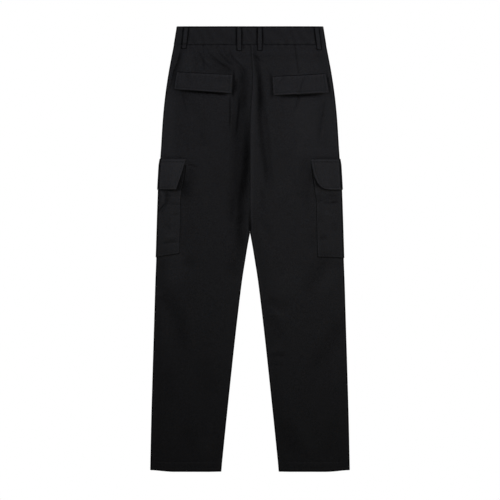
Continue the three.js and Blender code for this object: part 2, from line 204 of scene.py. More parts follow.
# The front is lifted off the surface where it lies on the button and band, a pocket, a flap or the fly.
waist_lift = 2.7
bag_lift = 1.5
flap_lift = 3.0
fly_lift = 1.5
lift_fade = 26
lift_margin = 3
loops_from = 477
bag_front_reach = 96
bag_lowest = -19.5
flap_top = 218.5
flap_bottom = 144.5
fly_bottom = 325
fly_width = 38


def fold(height, left, right, *path):
    """A soft ridge, or a trough if its height is below zero, along points listed downwards or to the right.

    left and right are its half widths on the left and right hand of the picture. On one that runs
    across, left is below it and right above it."""
    return {"height": height, "left": left, "right": right, "path": path}


back_folds = [
    # Along the centre back: a deep trough left of the seam, a ridge on it, and a long one right of it.
    fold(-5.6, 34, 19, (-15, 398), (-18, 330), (-20, 250), (-23, 190), (-27, 140), (-35, 98), (-48, 62)),
    fold(-2.2, 12, 8, (-14, 446), (-26, 410), (-33, 372), (-38, 320), (-36, 262), (-40, 220)),
    fold(2.6, 11, 17, (6, 480), (10, 424), (9, 370), (6, 320), (4, 250), (3, 120), (3, 76)),
    fold(-3.0, 17, 12, (10, 474), (22, 420), (26, 370), (34, 310), (42, 250), (47, 180), (52, 96)),
    fold(-1.4, 9, 8, (6, 262), (16, 250), (30, 244)),
    fold(-1.2, 8, 7, (5, 466), (26, 452)),
    # Beside the side seams at the hip.
    fold(-3.6, 12, 15, (-164, 496), (-170, 470), (-181, 444), (-190, 416), (-195, 384), (-200, 340)),
    fold(-1.5, 9, 7, (158, 484), (168, 456), (180, 428)),
    fold(-2.4, 10, 7, (180, 424), (190, 402), (197, 376), (199, 344)),
    # Soft vertical ones below the flaps.
    fold(-1.3, 8, 6, (121, 382), (115, 356), (110, 336)),
    fold(-1.6, 10, 7, (180, 380), (174, 344), (167, 300), (164, 254)),
    fold(-1.5, 12, 8, (-165, 388), (-159, 350), (-154, 316)),
    fold(-1.1, 6, 5, (-158, 378), (-146, 350)),
    fold(-1.0, 6, 5, (-152, 256), (-147, 216)),
    fold(-1.3, 24, 20, (-122, 300), (-104, 236)),
    fold(-1.1, 16, 12, (-152, 366), (-104, 284)),
    fold(-1.0, 9, 7, (26, 461), (44, 463)),
    fold(-1.2, 14, 12, (112, 296), (105, 232)),
    fold(-1.0, 30, 30, (-90, 210), (-70, 130)),
    fold(-1.0, 26, 30, (78, 250), (74, 150)),
    # Beside the cargo pockets.
    fold(-1.6, 5, 4, (-154, 205), (-142, 203), (-126, 198)),
    fold(-2.2, 15, 20, (-152, 200), (-142, 174), (-144, 142)),
    fold(-2.2, 22, 16, (140, 250), (131, 205), (130, 150), (138, 60)),
    fold(-1.6, 24, 20, (-160, -22), (-130, -38)),
    fold(-1.3, 20, 22, (150, 54), (148, -10)),
    # About the crotch.
    fold(-1.8, 16, 18, (-8, 96), (-32, 62), (-54, 16)),
    fold(-1.4, 16, 18, (12, 88), (40, 52), (62, 8)),
    # Down the legs.
    fold(-2.4, 30, 30, (-236, -84), (-212, -108), (-190, -134), (-174, -166), (-164, -210), (-160, -270)),
    fold(1.6, 16, 26, (-228, -112), (-216, -150), (-212, -210), (-214, -260)),
    fold(1.3, 11, 12, (-228, -98), (-204, -106)),
    fold(-1.2, 26, 26, (-52, -26), (-36, -72)),
    fold(-2.0, 28, 24, (214, 2), (176, -34), (150, -76), (128, -122)),
    fold(1.4, 26, 24, (222, -36), (192, -74), (160, -120)),
    fold(-1.6, 22, 18, (38, -112), (62, -132), (98, -138)),
    fold(-1.6, 24, 20, (38, -148), (58, -180), (84, -226)),
    fold(1.0, 16, 16, (48, -146), (70, -158), (96, -170)),
    fold(-1.5, 8, 4, (38, -251), (62, -253), (92, -254)),
    fold(1.0, 8, 14, (40, -242), (62, -240), (88, -243)),
    fold(-0.8, 9, 7, (48, -275), (82, -277)),
    fold(-2.0, 34, 32, (236, -150), (208, -196), (182, -240), (142, -306)),
    fold(1.1, 24, 24, (222, -226), (206, -290), (204, -350)),
    fold(-2.0, 34, 34, (66, -400), (92, -448), (116, -516)),
    fold(1.0, 26, 26, (112, -400), (134, -450), (156, -500)),
    fold(-1.2, 34, 32, (-204, -280), (-188, -390)),
    fold(-1.1, 34, 30, (-166, -420), (-112, -512)),
    fold(-1.0, 36, 36, (-116, -250), (-98, -370)),
    fold(-1.2, 30, 30, (204, -400), (184, -510)),
]
# Fine drag lines. Most fan out from the waist over the left half of the seat.
drag_lines = [
    # The grooves of the fan, and then the ridges between them.
    fold(-1.3, 4, 3, (-106, 492), (-100, 472), (-87, 458), (-68, 443), (-40, 429)),
    fold(-1.3, 4, 3, (-126, 485), (-117, 465), (-111, 449), (-98, 439), (-86, 433)),
    fold(-1.25, 4, 3, (-96, 482), (-83, 459), (-65, 444), (-42, 431)),
    fold(-1.4, 4, 3, (-82, 490), (-70, 468), (-52, 450), (-34, 438)),
    fold(-1.0, 3, 3, (-66, 488), (-60, 472), (-48, 456)),
    fold(-1.7, 5, 3, (-51, 489), (-47, 468), (-37, 455), (-23, 443), (-12, 427), (-8, 410)),
    fold(-1.1, 4, 3, (-36, 448), (-24, 434), (-19, 417), (-17, 396)),
    fold(-0.9, 4, 3, (-72, 439), (-56, 434), (-40, 424)),
    fold(0.9, 4, 4, (-97, 478), (-78, 457), (-58, 443)),
    fold(0.9, 4, 4, (-42, 470), (-30, 455), (-16, 440)),
    fold(0.8, 4, 4, (-118, 478), (-108, 456), (-92, 442)),
    # Short ones above the left flap's outer half, and one by the centre.
    fold(-0.8, 3, 3, (-140, 482), (-132, 458), (-124, 440)),
    fold(-0.7, 3, 3, (-150, 456), (-148, 444), (-146, 430)),
    fold(-0.7, 3, 3, (-134, 446), (-131, 436), (-130, 428)),
    fold(-0.5, 3, 3, (-30, 484), (-24, 466), (-14, 452)),
    # Below the left flap's inner end.
    fold(-1.3, 3, 3, (-48, 378), (-48, 330), (-49, 276)),
    fold(-1.4, 4, 3, (-24, 378), (-26, 352), (-27, 334), (-29, 316), (-32, 290), (-33, 258)),
    # Beside the other ends of the flaps, below them, and right of the centre at the waist.
    fold(-1.0, 5, 4, (185, 378), (177, 340), (169, 296), (164, 246)),
    fold(-0.8, 4, 3, (36, 437), (44, 426), (52, 412)),
    fold(-1.2, 4, 4, (118, 372), (112, 352), (104, 326)),
    fold(-1.1, 4, 4, (8, 472), (22, 455), (40, 447)),
    fold(-0.9, 4, 4, (-163, 380), (-158, 352), (-150, 330)),
]
darts = {-1: ((-112, 490), (-110.4, 426)), 1: ((107.5, 490), (116.5, 419))}


def smooth(t):
    """Rises softly from zero to one as t does."""
    t = np.clip(t, 0, 1)
    return t * t * (3 - 2 * t)


def both(u, v):
    """Two values as arrays of one shape."""
    return np.broadcast_arrays(np.asarray(u, float), np.asarray(v, float))


def bell(off, width):
    """One where off is zero, dying away over about that width on both sides."""
    return np.exp(-(off / width) ** 2)


def follow(rows, y):
    """A value read by height from rows of a height and a value, on a smooth curve through them."""
    heights, values = np.array(rows, float).T
    before = np.maximum(np.arange(len(rows)) - 1, 0)
    after = np.minimum(np.arange(len(rows)) + 1, len(rows) - 1)
    slopes = (values[after] - values[before]) / (heights[after] - heights[before])
    a = np.clip(np.searchsorted(-heights, -y) - 1, 0, len(rows) - 2)
    span = heights[a + 1] - heights[a]
    t = np.clip((y - heights[a]) / span, 0, 1)
    return ((2 * t ** 3 - 3 * t ** 2 + 1) * values[a] + (t ** 3 - 2 * t ** 2 + t) * span * slopes[a]
            + (3 * t ** 2 - 2 * t ** 3) * values[a + 1] + (t ** 3 - t ** 2) * span * slopes[a + 1])


def half_width(y):
    """From the middle to a side fold."""
    return follow(side_line, y)


def leg_gap(y):
    """From the middle to the inner end of a leg."""
    return np.where(y >= crotch, 0, follow(inseam_line, y))


def seam_inset(side, y):
    """How far a side seam sits in from its fold."""
    return np.maximum(0, follow(side_seam_line[side], y))


def crotch_turn(y):
    """How far the inner end of a leg turns down into the inseam: none at the seat, all of it on the legs."""
    return smooth((crotch + crotch_run - y) / crotch_run)


def underside(x, y):
    """Height of the front's outer face over the surface."""
    in_from_edge = half_width(y) - np.abs(x)

    def above(start):
        return smooth((y - start + lift_margin + lift_fade) / lift_fade)

    def within(distance):
        return 1 - smooth((distance - lift_margin) / lift_fade)

    near_pocket = within(in_from_edge - bag_front_reach)
    along_bag = np.minimum(above(bag_lowest), within(y - flap_bottom))
    along_flap = np.minimum(above(flap_bottom), within(y - flap_top))
    along_fly = np.minimum(above(fly_bottom), within(np.abs(x) - fly_width))
    lifts = [waist_lift * above(loops_from), bag_lift * along_bag * near_pocket,
             flap_lift * along_flap * near_pocket, fly_lift * along_fly]
    return np.maximum.reduce(lifts)


def folded(x, y, folds, fade=0.3):
    """Height that folds add at points of the cloth. Each dies away over its ends."""
    total = np.zeros(np.shape(x))
    for one in folds:
        path = np.array(one["path"], float)
        widest = max(one["left"], one["right"])
        (low_x, low_y), (high_x, high_y) = path.min(axis=0) - widest, path.max(axis=0) + widest
        close = (x > low_x) & (x < high_x) & (y > low_y) & (y < high_y)
        spot = np.stack([x[close], y[close]], axis=-1)
        runs = np.diff(path, axis=0)
        reached = np.concatenate([[0], np.cumsum(np.hypot(runs[:, 0], runs[:, 1]))])
        nearest = np.full(len(spot), np.inf)
        along = np.zeros(len(spot))
        hand = np.zeros(len(spot))
        for corner, run, begun, ended in zip(path, runs, reached, reached[1:]):
            off = spot - corner
            t = np.clip(off @ run / (run @ run), 0, 1)
            distance = np.linalg.norm(off - t[:, None] * run, axis=1)
            closer = distance < nearest
            nearest = np.where(closer, distance, nearest)
            along = np.where(closer, (begun + t * (ended - begun)) / reached[-1], along)
            hand = np.where(closer, run[0] * off[:, 1] - run[1] * off[:, 0], hand)
        width = np.where(hand > 0, one["right"], one["left"])
        rise = (1 + np.cos(np.pi * np.clip(nearest / width, 0, 1))) / 2
        total[close] += one["height"] * rise * smooth(along / fade) * smooth((1 - along) / fade)
    return total


def field(folds, step=1.5):
    """Folds worked out once over the whole garment. Gives a function that reads them at any points."""
    across = np.arange(-246, 247, step)
    along = np.arange(-540, 542, step)
    heights = folded(*np.meshgrid(across, along), folds)

    def read(x, y):
        u = np.clip((x - across[0]) / step, 0, len(across) - 1.001)
        v = np.clip((y - along[0]) / step, 0, len(along) - 1.001)
        i, j = u.astype(int), v.astype(int)
        s, t = u - i, v - j
        return ((heights[j, i] * (1 - s) + heights[j, i + 1] * s) * (1 - t)
                + (heights[j + 1, i] * (1 - s) + heights[j + 1, i + 1] * s) * t)

    return read


back_relief = field(back_folds + drag_lines)
drag_relief = field(drag_lines)
# Painted shade, below zero, and painted highlight on the back, beyond the shading that its folds give.
back_shade_field = field([
    # Broad ones: painted shade over the crotch and the inner thighs, and painted highlight on the hips.
    fold(-0.13, 44, 30, (-30, 350), (-30, 180), (-40, 30)),
    fold(-0.16, 30, 30, (-20, 66), (-30, 0), (-40, -70)),
    fold(0.05, 40, 40, (86, 230), (86, 110)),
    fold(0.26, 44, 40, (-184, 20), (-176, -96)),
    fold(0.1, 50, 50, (80, -40), (90, -120)),
    fold(0.13, 40, 40, (-110, -440), (-110, -500)),
    fold(0.28, 40, 24, (-194, 440), (-194, 340), (-194, 250), (-192, 180)),
    fold(0.22, 22, 24, (-150, 480), (-150, 440), (-150, 420)),
    fold(0.16, 60, 60, (126, 510), (128, 350), (136, 190)),
    fold(0.1, 26, 20, (180, 450), (198, 300), (206, 220)),
    # On the centre back seam and right of it.
    fold(-0.46, 8, 13, (4, 500), (12, 462), (20, 420), (25, 374), (27, 310)),
    fold(-0.42, 11, 10, (20, 440), (21, 340), (25, 288), (31, 240), (38, 190), (42, 120)),
    fold(0.1, 6, 6, (8, 430), (7, 330), (6, 200), (6, 84)),
    fold(0.28, 5, 5, (5, 160), (4, 110), (4, 80), (4, 46)),
    fold(-0.15, 10, 10, (28, 160), (30, 120), (31, 88)),
    # Above the left back flap, where the drag lines run together, and below a belt loop.
    fold(-0.16, 20, 30, (-100, 446), (-70, 446), (-30, 450)),
    fold(-0.24, 8, 8, (-84, 430), (-60, 429), (-36, 428)),
    fold(-0.4, 3, 3, (-15, 493), (-16, 480)),
    # Under the lower edges of the back flaps, and in a thin fold that starts there.
    fold(-0.5, 4, 4, (-178, 382), (-110, 377), (-47, 373)),
    fold(-0.4, 4, 4, (-84, 374), (-68, 372), (-52, 371)),
    fold(-0.55, 6, 6, (57, 366), (122, 369), (189, 373)),
    fold(-0.45, 2.6, 2.6, (-48, 376), (-48, 330), (-49, 280)),
    # Beside the ends of the back flaps.
    fold(-0.8, 5, 4, (-38.2, 440), (-38.6, 400), (-41.5, 358)),
    fold(-0.55, 4, 8, (-34, 414), (-34.5, 396), (-37, 374)),
    fold(-0.45, 3, 4, (-41, 384), (-41, 368)),
    fold(-0.55, 7, 5, (49, 432), (51.5, 396), (53, 354)),
    fold(-0.55, 7, 6, (183, 430), (189, 400), (193, 366)),
    # Beside the left hip.
    fold(-0.42, 9, 14, (-164, 492), (-176, 450), (-190, 410), (-194, 380)),
    fold(0.2, 5, 5, (-180, 480), (-190, 430)),
    # Along the tops of the cargo flaps, and in a crease that starts beside the left one.
    fold(-0.4, 3, 3, (-222, 221), (-144, 221)),
    fold(-0.45, 3, 3, (138, 221), (224, 221)),
    fold(-0.4, 3, 3, (-152, 205), (-136, 202), (-122, 198)),
    # Where the legs bend.
    fold(0.25, 8, 8, (-226, -102), (-212, -110)),
    fold(0.15, 8, 10, (44, -242), (66, -244)),
])
# Painted shade in the trough left of the centre back seam. It ends at the seam, which stands over the
# trough.
seam_shade_field = field([
    fold(-0.44, 20, 18, (-17, 450), (-15, 420), (-15, 380), (-18, 320)),
    fold(-0.36, 5, 5, (-24, 384), (-27, 340), (-30, 312), (-33, 266)),
    fold(-0.48, 15, 26, (-7, 330), (-7, 280), (-8, 239), (-12, 191), (-18, 143), (-23, 107), (-25, 60),
         (-24, -40)),
    fold(-0.28, 9, 10, (-5, 350), (-5, 280), (-6, 230), (-8, 180), (-12, 110)),
    fold(-0.22, 18, 12, (-42, 128), (-42, 100), (-44, 56)),
])
# By the cargo flaps and beneath the back flaps the cloth is painted darker, as painted shadow: X, Y, half
# the width, half the depth, and how much darker it is.
shade_spots = [
    (-158, 160, 14, 22, 0.45), (-152, 140, 14, 18, 0.25), (146, 176, 8, 26, 0.35),
    (-110, 376, 58, 6, 0.35), (122, 369, 54, 6, 0.35)]


def uneven(x, y):
    """A gentle unevenness of the cloth, about a hand wide."""
    return (0.5 * np.sin(x / 23 + 1.3 * np.sin(y / 61)) * np.sin(y / 47 + 0.8 * np.sin(x / 53))
            + 0.16 * np.sin(x / 9 + 2.1 * np.sin(y / 31)) * np.sin(y / 19 + 1.1 * np.sin(x / 15)))


def puckers(run, distance, reach, pitch, height):
    """Small waves along a sewn line, which die away with the distance from it."""
    wave = np.sin(2 * np.pi * run / pitch + 1.7 * np.sin(run / pitch / 1.9))
    return height * wave * (1 - smooth(distance / reach))


def back_rise(x, y):
    """Height of the back over its rolled edges: a soft rise, the folds, the darts and the seams."""
    across = np.abs(x)
    from_side = smooth((half_width(y) - across - edge_radius) / 30)
    on_leg = smooth((across - leg_gap(y) - edge_radius) / 26)
    free = from_side * (1 + (on_leg - 1) * crotch_turn(y))
    calm = 1 - 0.75 * smooth((y - waist_seam + 26) / 24)
    height = (soft_rise * calm + uneven(x, y) + back_relief(x, y)) * free
    # The centre back seam lies in a narrow groove, with its allowance folded under on the right.
    off_seam = x - follow(centre_back_line, y)
    in_seat = 1 - crotch_turn(y)
    height += in_seat * (-0.6 * bell(off_seam, 1.9)
                         + 0.6 * smooth(off_seam / 2.4) * smooth((13 - off_seam) / 4)
                         + puckers(y, np.abs(off_seam), 10, 13, 0.3))
    # Below the band the cloth rolls over the seam and puckers a little.
    below_band = waist_seam - y
    under_band = below_band > -1
    height += np.where(under_band, -0.7 * bell(below_band, 1.8) + 0.5 * bell(below_band - 6, 3.5)
                       + puckers(x, np.abs(below_band), 16, 15, 0.4), 0) * from_side
    for side, (top, end) in darts.items():
        off = off_dart(x, y, top, end)
        shown = (0.6 if side < 0 else 1) * under_band * smooth((y - end[1] + 3) / 6)
        height += shown * (-0.9 * bell(off, 2.0) + 0.6 * bell(off - 6, 4))
        height += dart_end(x, y, end, 14)
    # The hem is turned up and sewn, so that it stands out a little under its stitches and ripples.
    over_hem = y - (hem_outer + hem_depth)
    height += from_side * on_leg * (0.4 * smooth(-over_hem / 3) - 0.3 * bell(over_hem, 1.8)
                                    + puckers(x, np.abs(over_hem + 8), 17, 14, 0.18))
    return height


def dart_end(x, y, end, spread):
    """A small round bump of 1 just above the end of a dart."""
    return np.exp(-((x - end[0]) ** 2 + (y - end[1] - 2) ** 2) / spread)


def off_dart(x, y, top, end):
    """Distance to the right of a dart's line."""
    t = np.clip((top[1] - y) / (top[1] - end[1]), 0, 1)
    return x - (top[0] + t * (end[0] - top[0]))


def painted_back_shade(x, y):
    """Painted shade and highlight on the back: lighter on ridges, darker in troughs and along its seams."""
    off_seam = x - follow(centre_back_line, y)
    relief_shade = 0.055 + 0.022 * smooth((60 - y) / 120)
    tone = np.clip(relief_shade * back_relief(x, y), -0.25, 0.16) + 0.14 * drag_relief(x, y) + back_shade_field(x, y)
    tone += seam_shade_field(x, y) * (1 - smooth((off_seam + 1.5) / 3))
    in_seat = 1 - crotch_turn(y)
    tone += in_seat * (-0.28 * bell(off_seam + 0.6, 1.5) + 0.2 * bell(off_seam - 2.4, 1.6))
    below_band = waist_seam - y
    tone += -0.36 * bell(below_band - 0.6, 1.6) + puckers(x, np.abs(below_band), 12, 15, 0.12)
    for side, (top, end) in darts.items():
        shown = (0.24 if side < 0 else 0.4) * smooth((y - end[1] + 3) / 6)
        tone += -shown * bell(off_dart(x, y, top, end), 1.7)
        tone += 0.5 * dart_end(x, y, end, 5)
    over_edge = y - hem_outer
    tone += -0.85 * (1 - smooth((over_edge - 1.6) / 1.6)) + 0.1 * bell(over_edge - 5, 1.6)
    tone += -0.05 * bell(over_edge - hem_depth - 2, 1.6)
    for at_x, at_y, wide, deep, dark in shade_spots:
        tone -= dark * bell(x - at_x, wide) * bell(y - at_y, deep)
    return np.clip(tone, -0.8, 0.6)


front_folds = [
    fold(1.4, 12, 16, (-150, 300), (-110, 262), (-60, 240)),
    fold(1.3, 14, 12, (60, 300), (110, 250), (130, 232)),
    fold(1.2, 12, 12, (-20, 120), (-60, 70), (-110, 40)),
    fold(1.2, 12, 12, (16, 112), (52, 60), (96, 34)),
    fold(1.3, 14, 18, (-190, -90), (-140, -130), (-96, -150)),
    fold(1.2, 14, 16, (84, -120), (140, -168), (186, -196)),
    fold(1.0, 16, 14, (-180, -330), (-130, -356), (-96, -360)),
    fold(1.1, 14, 14, (100, -380), (150, -402), (190, -410)),
]


def front_rise(x, y):
    """Height of the creases that the hidden front lies in, over the surface."""
    from_edges = smooth((half_width(y) - np.abs(x) - 30) / 20)
    on_leg = smooth((np.abs(x) - leg_gap(y) - 16) / 16)
    return folded(x, y, front_folds) * from_edges * (1 + (on_leg - 1) * crotch_turn(y))


def ring_spans(side, y, on_back):
    """Across one half at a height: the turn into the inseam, its inner end, the flat and the whole run."""
    turn = crotch_turn(y) * math.pi / 2
    bend = np.where(on_back, side * follow(centre_back_line, y) * (1 - crotch_turn(y)), 0)
    inner = leg_gap(y) + bend
    flat = half_width(y) - edge_radius - inner - edge_radius * np.sin(turn)
    return turn, inner, flat, quarter_turn + flat + edge_radius * turn


def face(side, reach, y):
    """Points of the cloth's outer face. reach runs in from a side fold, above zero on the back."""
    reach, y = both(reach, y)
    on_back = reach >= 0
    turn, inner, flat, _ = ring_spans(side, y, on_back)
    run = np.abs(reach)
    half = half_width(y)
    roll = run / edge_radius
    angle = (run - quarter_turn - flat) / edge_radius
    stretches = [run < quarter_turn, run < quarter_turn + flat]
    across = np.select(stretches, [half - edge_radius + edge_radius * np.cos(roll),
                                   half - edge_radius - (run - quarter_turn)],
                       inner + edge_radius * (np.sin(turn) - np.sin(angle)))
    rise = np.select(stretches, [edge_radius * np.sin(roll), edge_radius * np.ones_like(run)],
                     edge_radius * np.cos(angle))
    x = side * across
    middle = underside(x, y) + edge_radius
    z = np.where(on_back, middle + rise + back_rise(x, y), middle - rise + front_rise(x, y))
    return np.stack([x, y, z], axis=-1)


def normals(place, u, v, facing, nudge=0.25):
    """Directions out of a piece whose points are place(u, v)."""
    across = place(u + nudge, v) - place(u - nudge, v)
    along = place(u, v + nudge) - place(u, v - nudge)
    out = facing * np.cross(across, along)
    return out / np.linalg.norm(out, axis=-1, keepdims=True)


def over_cloth(side, reach, y, out):
    """Points at a distance out from the leg's outer face, and none below the surface it lies on."""
    reach, y = both(reach, y)
    lifted = normals(lambda u, v: face(side, u, v), reach, y, -side) * np.asarray(out, float)[..., None]
    points = face(side, reach, y) + lifted
    points[..., 2] = np.maximum(points[..., 2], 0)
    return points


def reach_over(side, x, y, on_back=True):
    """The reach on the back or front that lies over an X."""
    reach = quarter_turn + half_width(y) - edge_radius - side * x
    return reach if on_back else -reach


def lines(start, *stretches):
    """Grid lines from a start through stretches, each given as its end and the step along it."""
    found = [start]
    for end, apart in stretches:
        count = max(1, round(abs(end - found[-1]) / apart))
        found += list(np.linspace(found[-1], end, count + 1)[1:])
    return np.array(found)


def metres(points):
    """Points given in millimetres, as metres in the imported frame."""
    return (points - [0, origin_y, 0]) / 1000


# The darkest tone of the panels and of the band on the back.
darkest = -0.88


def rim_shade(side, reach, y):
    """The turned edges at the outline are painted darker, as painted shade, with a painted highlight line
    just inside them.
    """
    whole = ring_spans(side, y, reach >= 0)[3]

    def dark_and_light(run):
        rolled = edge_radius * (1 - np.cos(np.clip(run, 0, quarter_turn) / edge_radius))
        into = np.where(run < quarter_turn, rolled, run - quarter_turn + edge_radius)
        return 0.8 * smooth((into - 2.0) / 1.8) - 0.8 + 0.22 * bell(into - 4.9, 1.5)

    at_side = dark_and_light(np.abs(reach))
    at_inseam = dark_and_light(whole - np.abs(reach)) * crotch_turn(y) ** 2
    return np.where(at_side + at_inseam < 0, np.minimum(at_side, at_inseam), np.maximum(at_side, at_inseam))


def new_piece(name, points, faces, material, tone=None):
    """A mesh object in metres that rides with the garment. tone makes its cloth lighter or darker."""
    mesh = bpy.data.meshes.new(name)
    mesh.from_pydata(metres(points).tolist(), [], faces)
    mesh.shade_smooth()
    mesh.materials.append(material)
    if tone is not None:
        mesh.attributes.new("tone", "FLOAT", "POINT").data.foreach_set("value", tone.astype(np.float32))
    piece = bpy.data.objects.new(name, mesh)
    bpy.context.collection.objects.link(piece)
    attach(piece, "root")
    return piece


def shell(name, outer, facing, thick, material, tone=None, round_edges="top low first last"):
    """A thin closed cloth shell behind a grid of points of its outer face. The edges named are rounded.

    facing is 1 where the way along a row of the grid, crossed with the way down it, points outwards."""
    rows, columns = outer.shape[:2]
    out = facing * np.cross(np.gradient(outer, axis=1), np.gradient(outer, axis=0))
    out /= np.linalg.norm(out, axis=-1, keepdims=True)
    inner = outer - out * np.broadcast_to(thick, (rows, columns))[..., None]
    pull = np.zeros_like(outer)
    for edge_name, edge, beside in (
            ("top", np.s_[0], np.s_[1]), ("low", np.s_[-1], np.s_[-2]),
            ("first", np.s_[:, 0], np.s_[:, 1]), ("last", np.s_[:, -1], np.s_[:, -2])):
        if edge_name not in round_edges:
            continue
        away = outer[edge] - outer[beside]
        pull[edge] += away / np.linalg.norm(away, axis=-1, keepdims=True)
    pull *= 0.3 * np.broadcast_to(thick, (rows, columns))[..., None]
    index = np.arange(rows * columns).reshape(rows, columns)
    ring = np.concatenate([index[0], index[1:, -1], index[-1, -2::-1], index[-2:0:-1, 0]])
    middle = ((outer + inner) / 2).reshape(-1, 3)[ring]
    points = np.concatenate([(outer - pull).reshape(-1, 3), (inner - pull).reshape(-1, 3), middle])
    quads = np.stack([index[:-1, :-1], index[:-1, 1:], index[1:, 1:], index[1:, :-1]], axis=-1)
    quads = quads.reshape(-1, 4)
    count = rows * columns
    rim = 2 * count + np.arange(len(ring))
    after = np.roll(ring, -1)
    rim_after = np.roll(rim, -1)
    faces = np.concatenate([
        quads, quads[:, ::-1] + count, np.stack([after, ring, rim, rim_after], axis=-1),
        np.stack([rim_after, rim, ring + count, after + count], axis=-1)])
    corners = points[faces]
    volume = sum((corners[:, 0] * np.cross(corners[:, k], corners[:, k + 1])).sum() for k in (1, 2))
    if volume < 0:
        faces = faces[:, ::-1]
    if tone is not None:
        flat_tone = np.broadcast_to(tone, (rows, columns)).reshape(-1)
        tone = np.concatenate([flat_tone, flat_tone, flat_tone[ring]])
    return new_piece(name, points, faces.tolist(), material, tone)


def grid_area(outer):
    """Area of a grid of points, in square metres."""
    one = np.cross(outer[1:, 1:] - outer[:-1, :-1], outer[1:, :-1] - outer[:-1, 1:])
    return np.linalg.norm(one, axis=-1).sum() / 2e6


rib_pitch = 0.9
uneven_dye = 0.9


def twill(name, colour):
    """Cotton twill: fine slanting ribs of broken floats, a slight mottle, and lint in its nap.

    Where the mesh has a tone, the cloth is painted lighter or darker, mostly as painted shade and painted
    highlight."""
    material, start = new_material(name)
    place = start.node("ShaderNodeTexCoord", out="Object")
    x = start.node("ShaderNodeSeparateXYZ", sockets={0: place}, out="X")
    y = Value(start.tree, x.socket.node.outputs["Y"])
    fuzz = start.node("ShaderNodeTexNoise", sockets={"Vector": place, "Scale": 1500.0, "Detail": 2.0})
    slubs = start.node("ShaderNodeTexNoise", sockets={
        "Vector": start.node("ShaderNodeMapping", sockets={"Vector": place, "Scale": (1.0, 0.12, 1.0)}),
        "Scale": 900.0, "Detail": 1.0})
    mottle = start.node("ShaderNodeTexNoise", sockets={
        "Vector": place, "Scale": 110.0, "Detail": 4.0, "Roughness": 0.6})
    turn = 2000 * math.pi / rib_pitch
    wobble = fuzz * 1.6 + slubs * 1.2
    ribs = (x * (0.89 * turn) - y * (0.45 * turn) + wobble).math("SINE")
    floats = (x * (0.62 * turn) + y * (1.5 * turn) + wobble).math("SINE")
    weave = ribs * 0.32 + floats * 0.14 + fuzz * 0.4 + 0.3
    tone = start.node("ShaderNodeAttribute", {"attribute_name": "tone"}, out="Fac")
    heather = start.node("ShaderNodeTexNoise", sockets={"Vector": place, "Scale": 600.0, "Detail": 1.0})
    shade = ((weave - 0.5) * 0.34 + (mottle - 0.5) * 0.2 + (slubs - 0.5) * 0.22 + (heather - 0.5) * 1.6
             + 1.0 + tone)
    # Its threads took the dye unevenly, some a little bluer and some a little browner.
    hue = start.node("ShaderNodeTexNoise", sockets={"Vector": place, "Scale": 800.0, "Detail": 1.0})
    tint = np.array(colour) * (-uneven_dye, 0, uneven_dye)
    dyed = start.node("ShaderNodeVectorMath", {"operation": "MULTIPLY_ADD"},
                      {0: hue, 1: tuple(tint), 2: tuple(np.array(colour) - tint / 2)})
    dye = start.node("ShaderNodeVectorMath", {"operation": "SCALE"}, {0: dyed, "Scale": shade})
    bump = start.node("ShaderNodeBump", sockets={"Height": weave, "Strength": 0.35, "Distance": 0.0003})
    painted(start, start.node("ShaderNodeBsdfPrincipled", sockets={
        "Base Color": dye, "Roughness": mottle * 0.12 + 0.82, "Specular IOR Level": 0.03,
        "Sheen Weight": 0.01, "Sheen Roughness": 0.6, "Normal": bump}))
    return material


def thread(name, colour):
    """Twisted sewing thread, slightly glossier than the cloth."""
    material, start = new_material(name)
    place = start.node("ShaderNodeTexCoord", out="Object")
    twist = start.node("ShaderNodeTexNoise", sockets={"Vector": place, "Scale": 2600.0, "Detail": 1.0})
    dye = start.node("ShaderNodeVectorMath", {"operation": "SCALE"},
                     {0: colour, "Scale": twist * 0.7 + 0.65})
    bump = start.node("ShaderNodeBump", sockets={"Height": twist, "Strength": 0.4, "Distance": 0.0002})
    painted(start, start.node("ShaderNodeBsdfPrincipled", sockets={
        "Base Color": dye, "Roughness": 0.6, "Specular IOR Level": 0.2, "Normal": bump}))
    return material


leg_twill = twill("leg_twill", (0.0123, 0.0123, 0.013))
black_thread = thread("black_thread", (0.02, 0.02, 0.022))
hem_thread = thread("hem_thread", (0.019, 0.019, 0.02))


def stitch_line(place, u, v, facing, length=2.5, gap=0.9, nudge=0.25):
    """Stitches along a line on a piece: where each starts and ends, and the direction out of the cloth."""
    finer = np.linspace(0, 1, 600)
    u, v = (np.interp(finer, np.linspace(0, 1, len(w)), w) for w in both(u, v))
    walked = np.concatenate([[0], np.cumsum(np.linalg.norm(np.diff(place(u, v), axis=0), axis=1))])
    count = int(walked[-1] // (length + gap))
    middles = (np.arange(count) + 0.5) * walked[-1] / count

    def at(distance):
        return np.interp(distance, walked, u), np.interp(distance, walked, v)

    return (place(*at(middles - length / 2)), place(*at(middles + length / 2)),
            normals(place, *at(middles), facing, nudge))


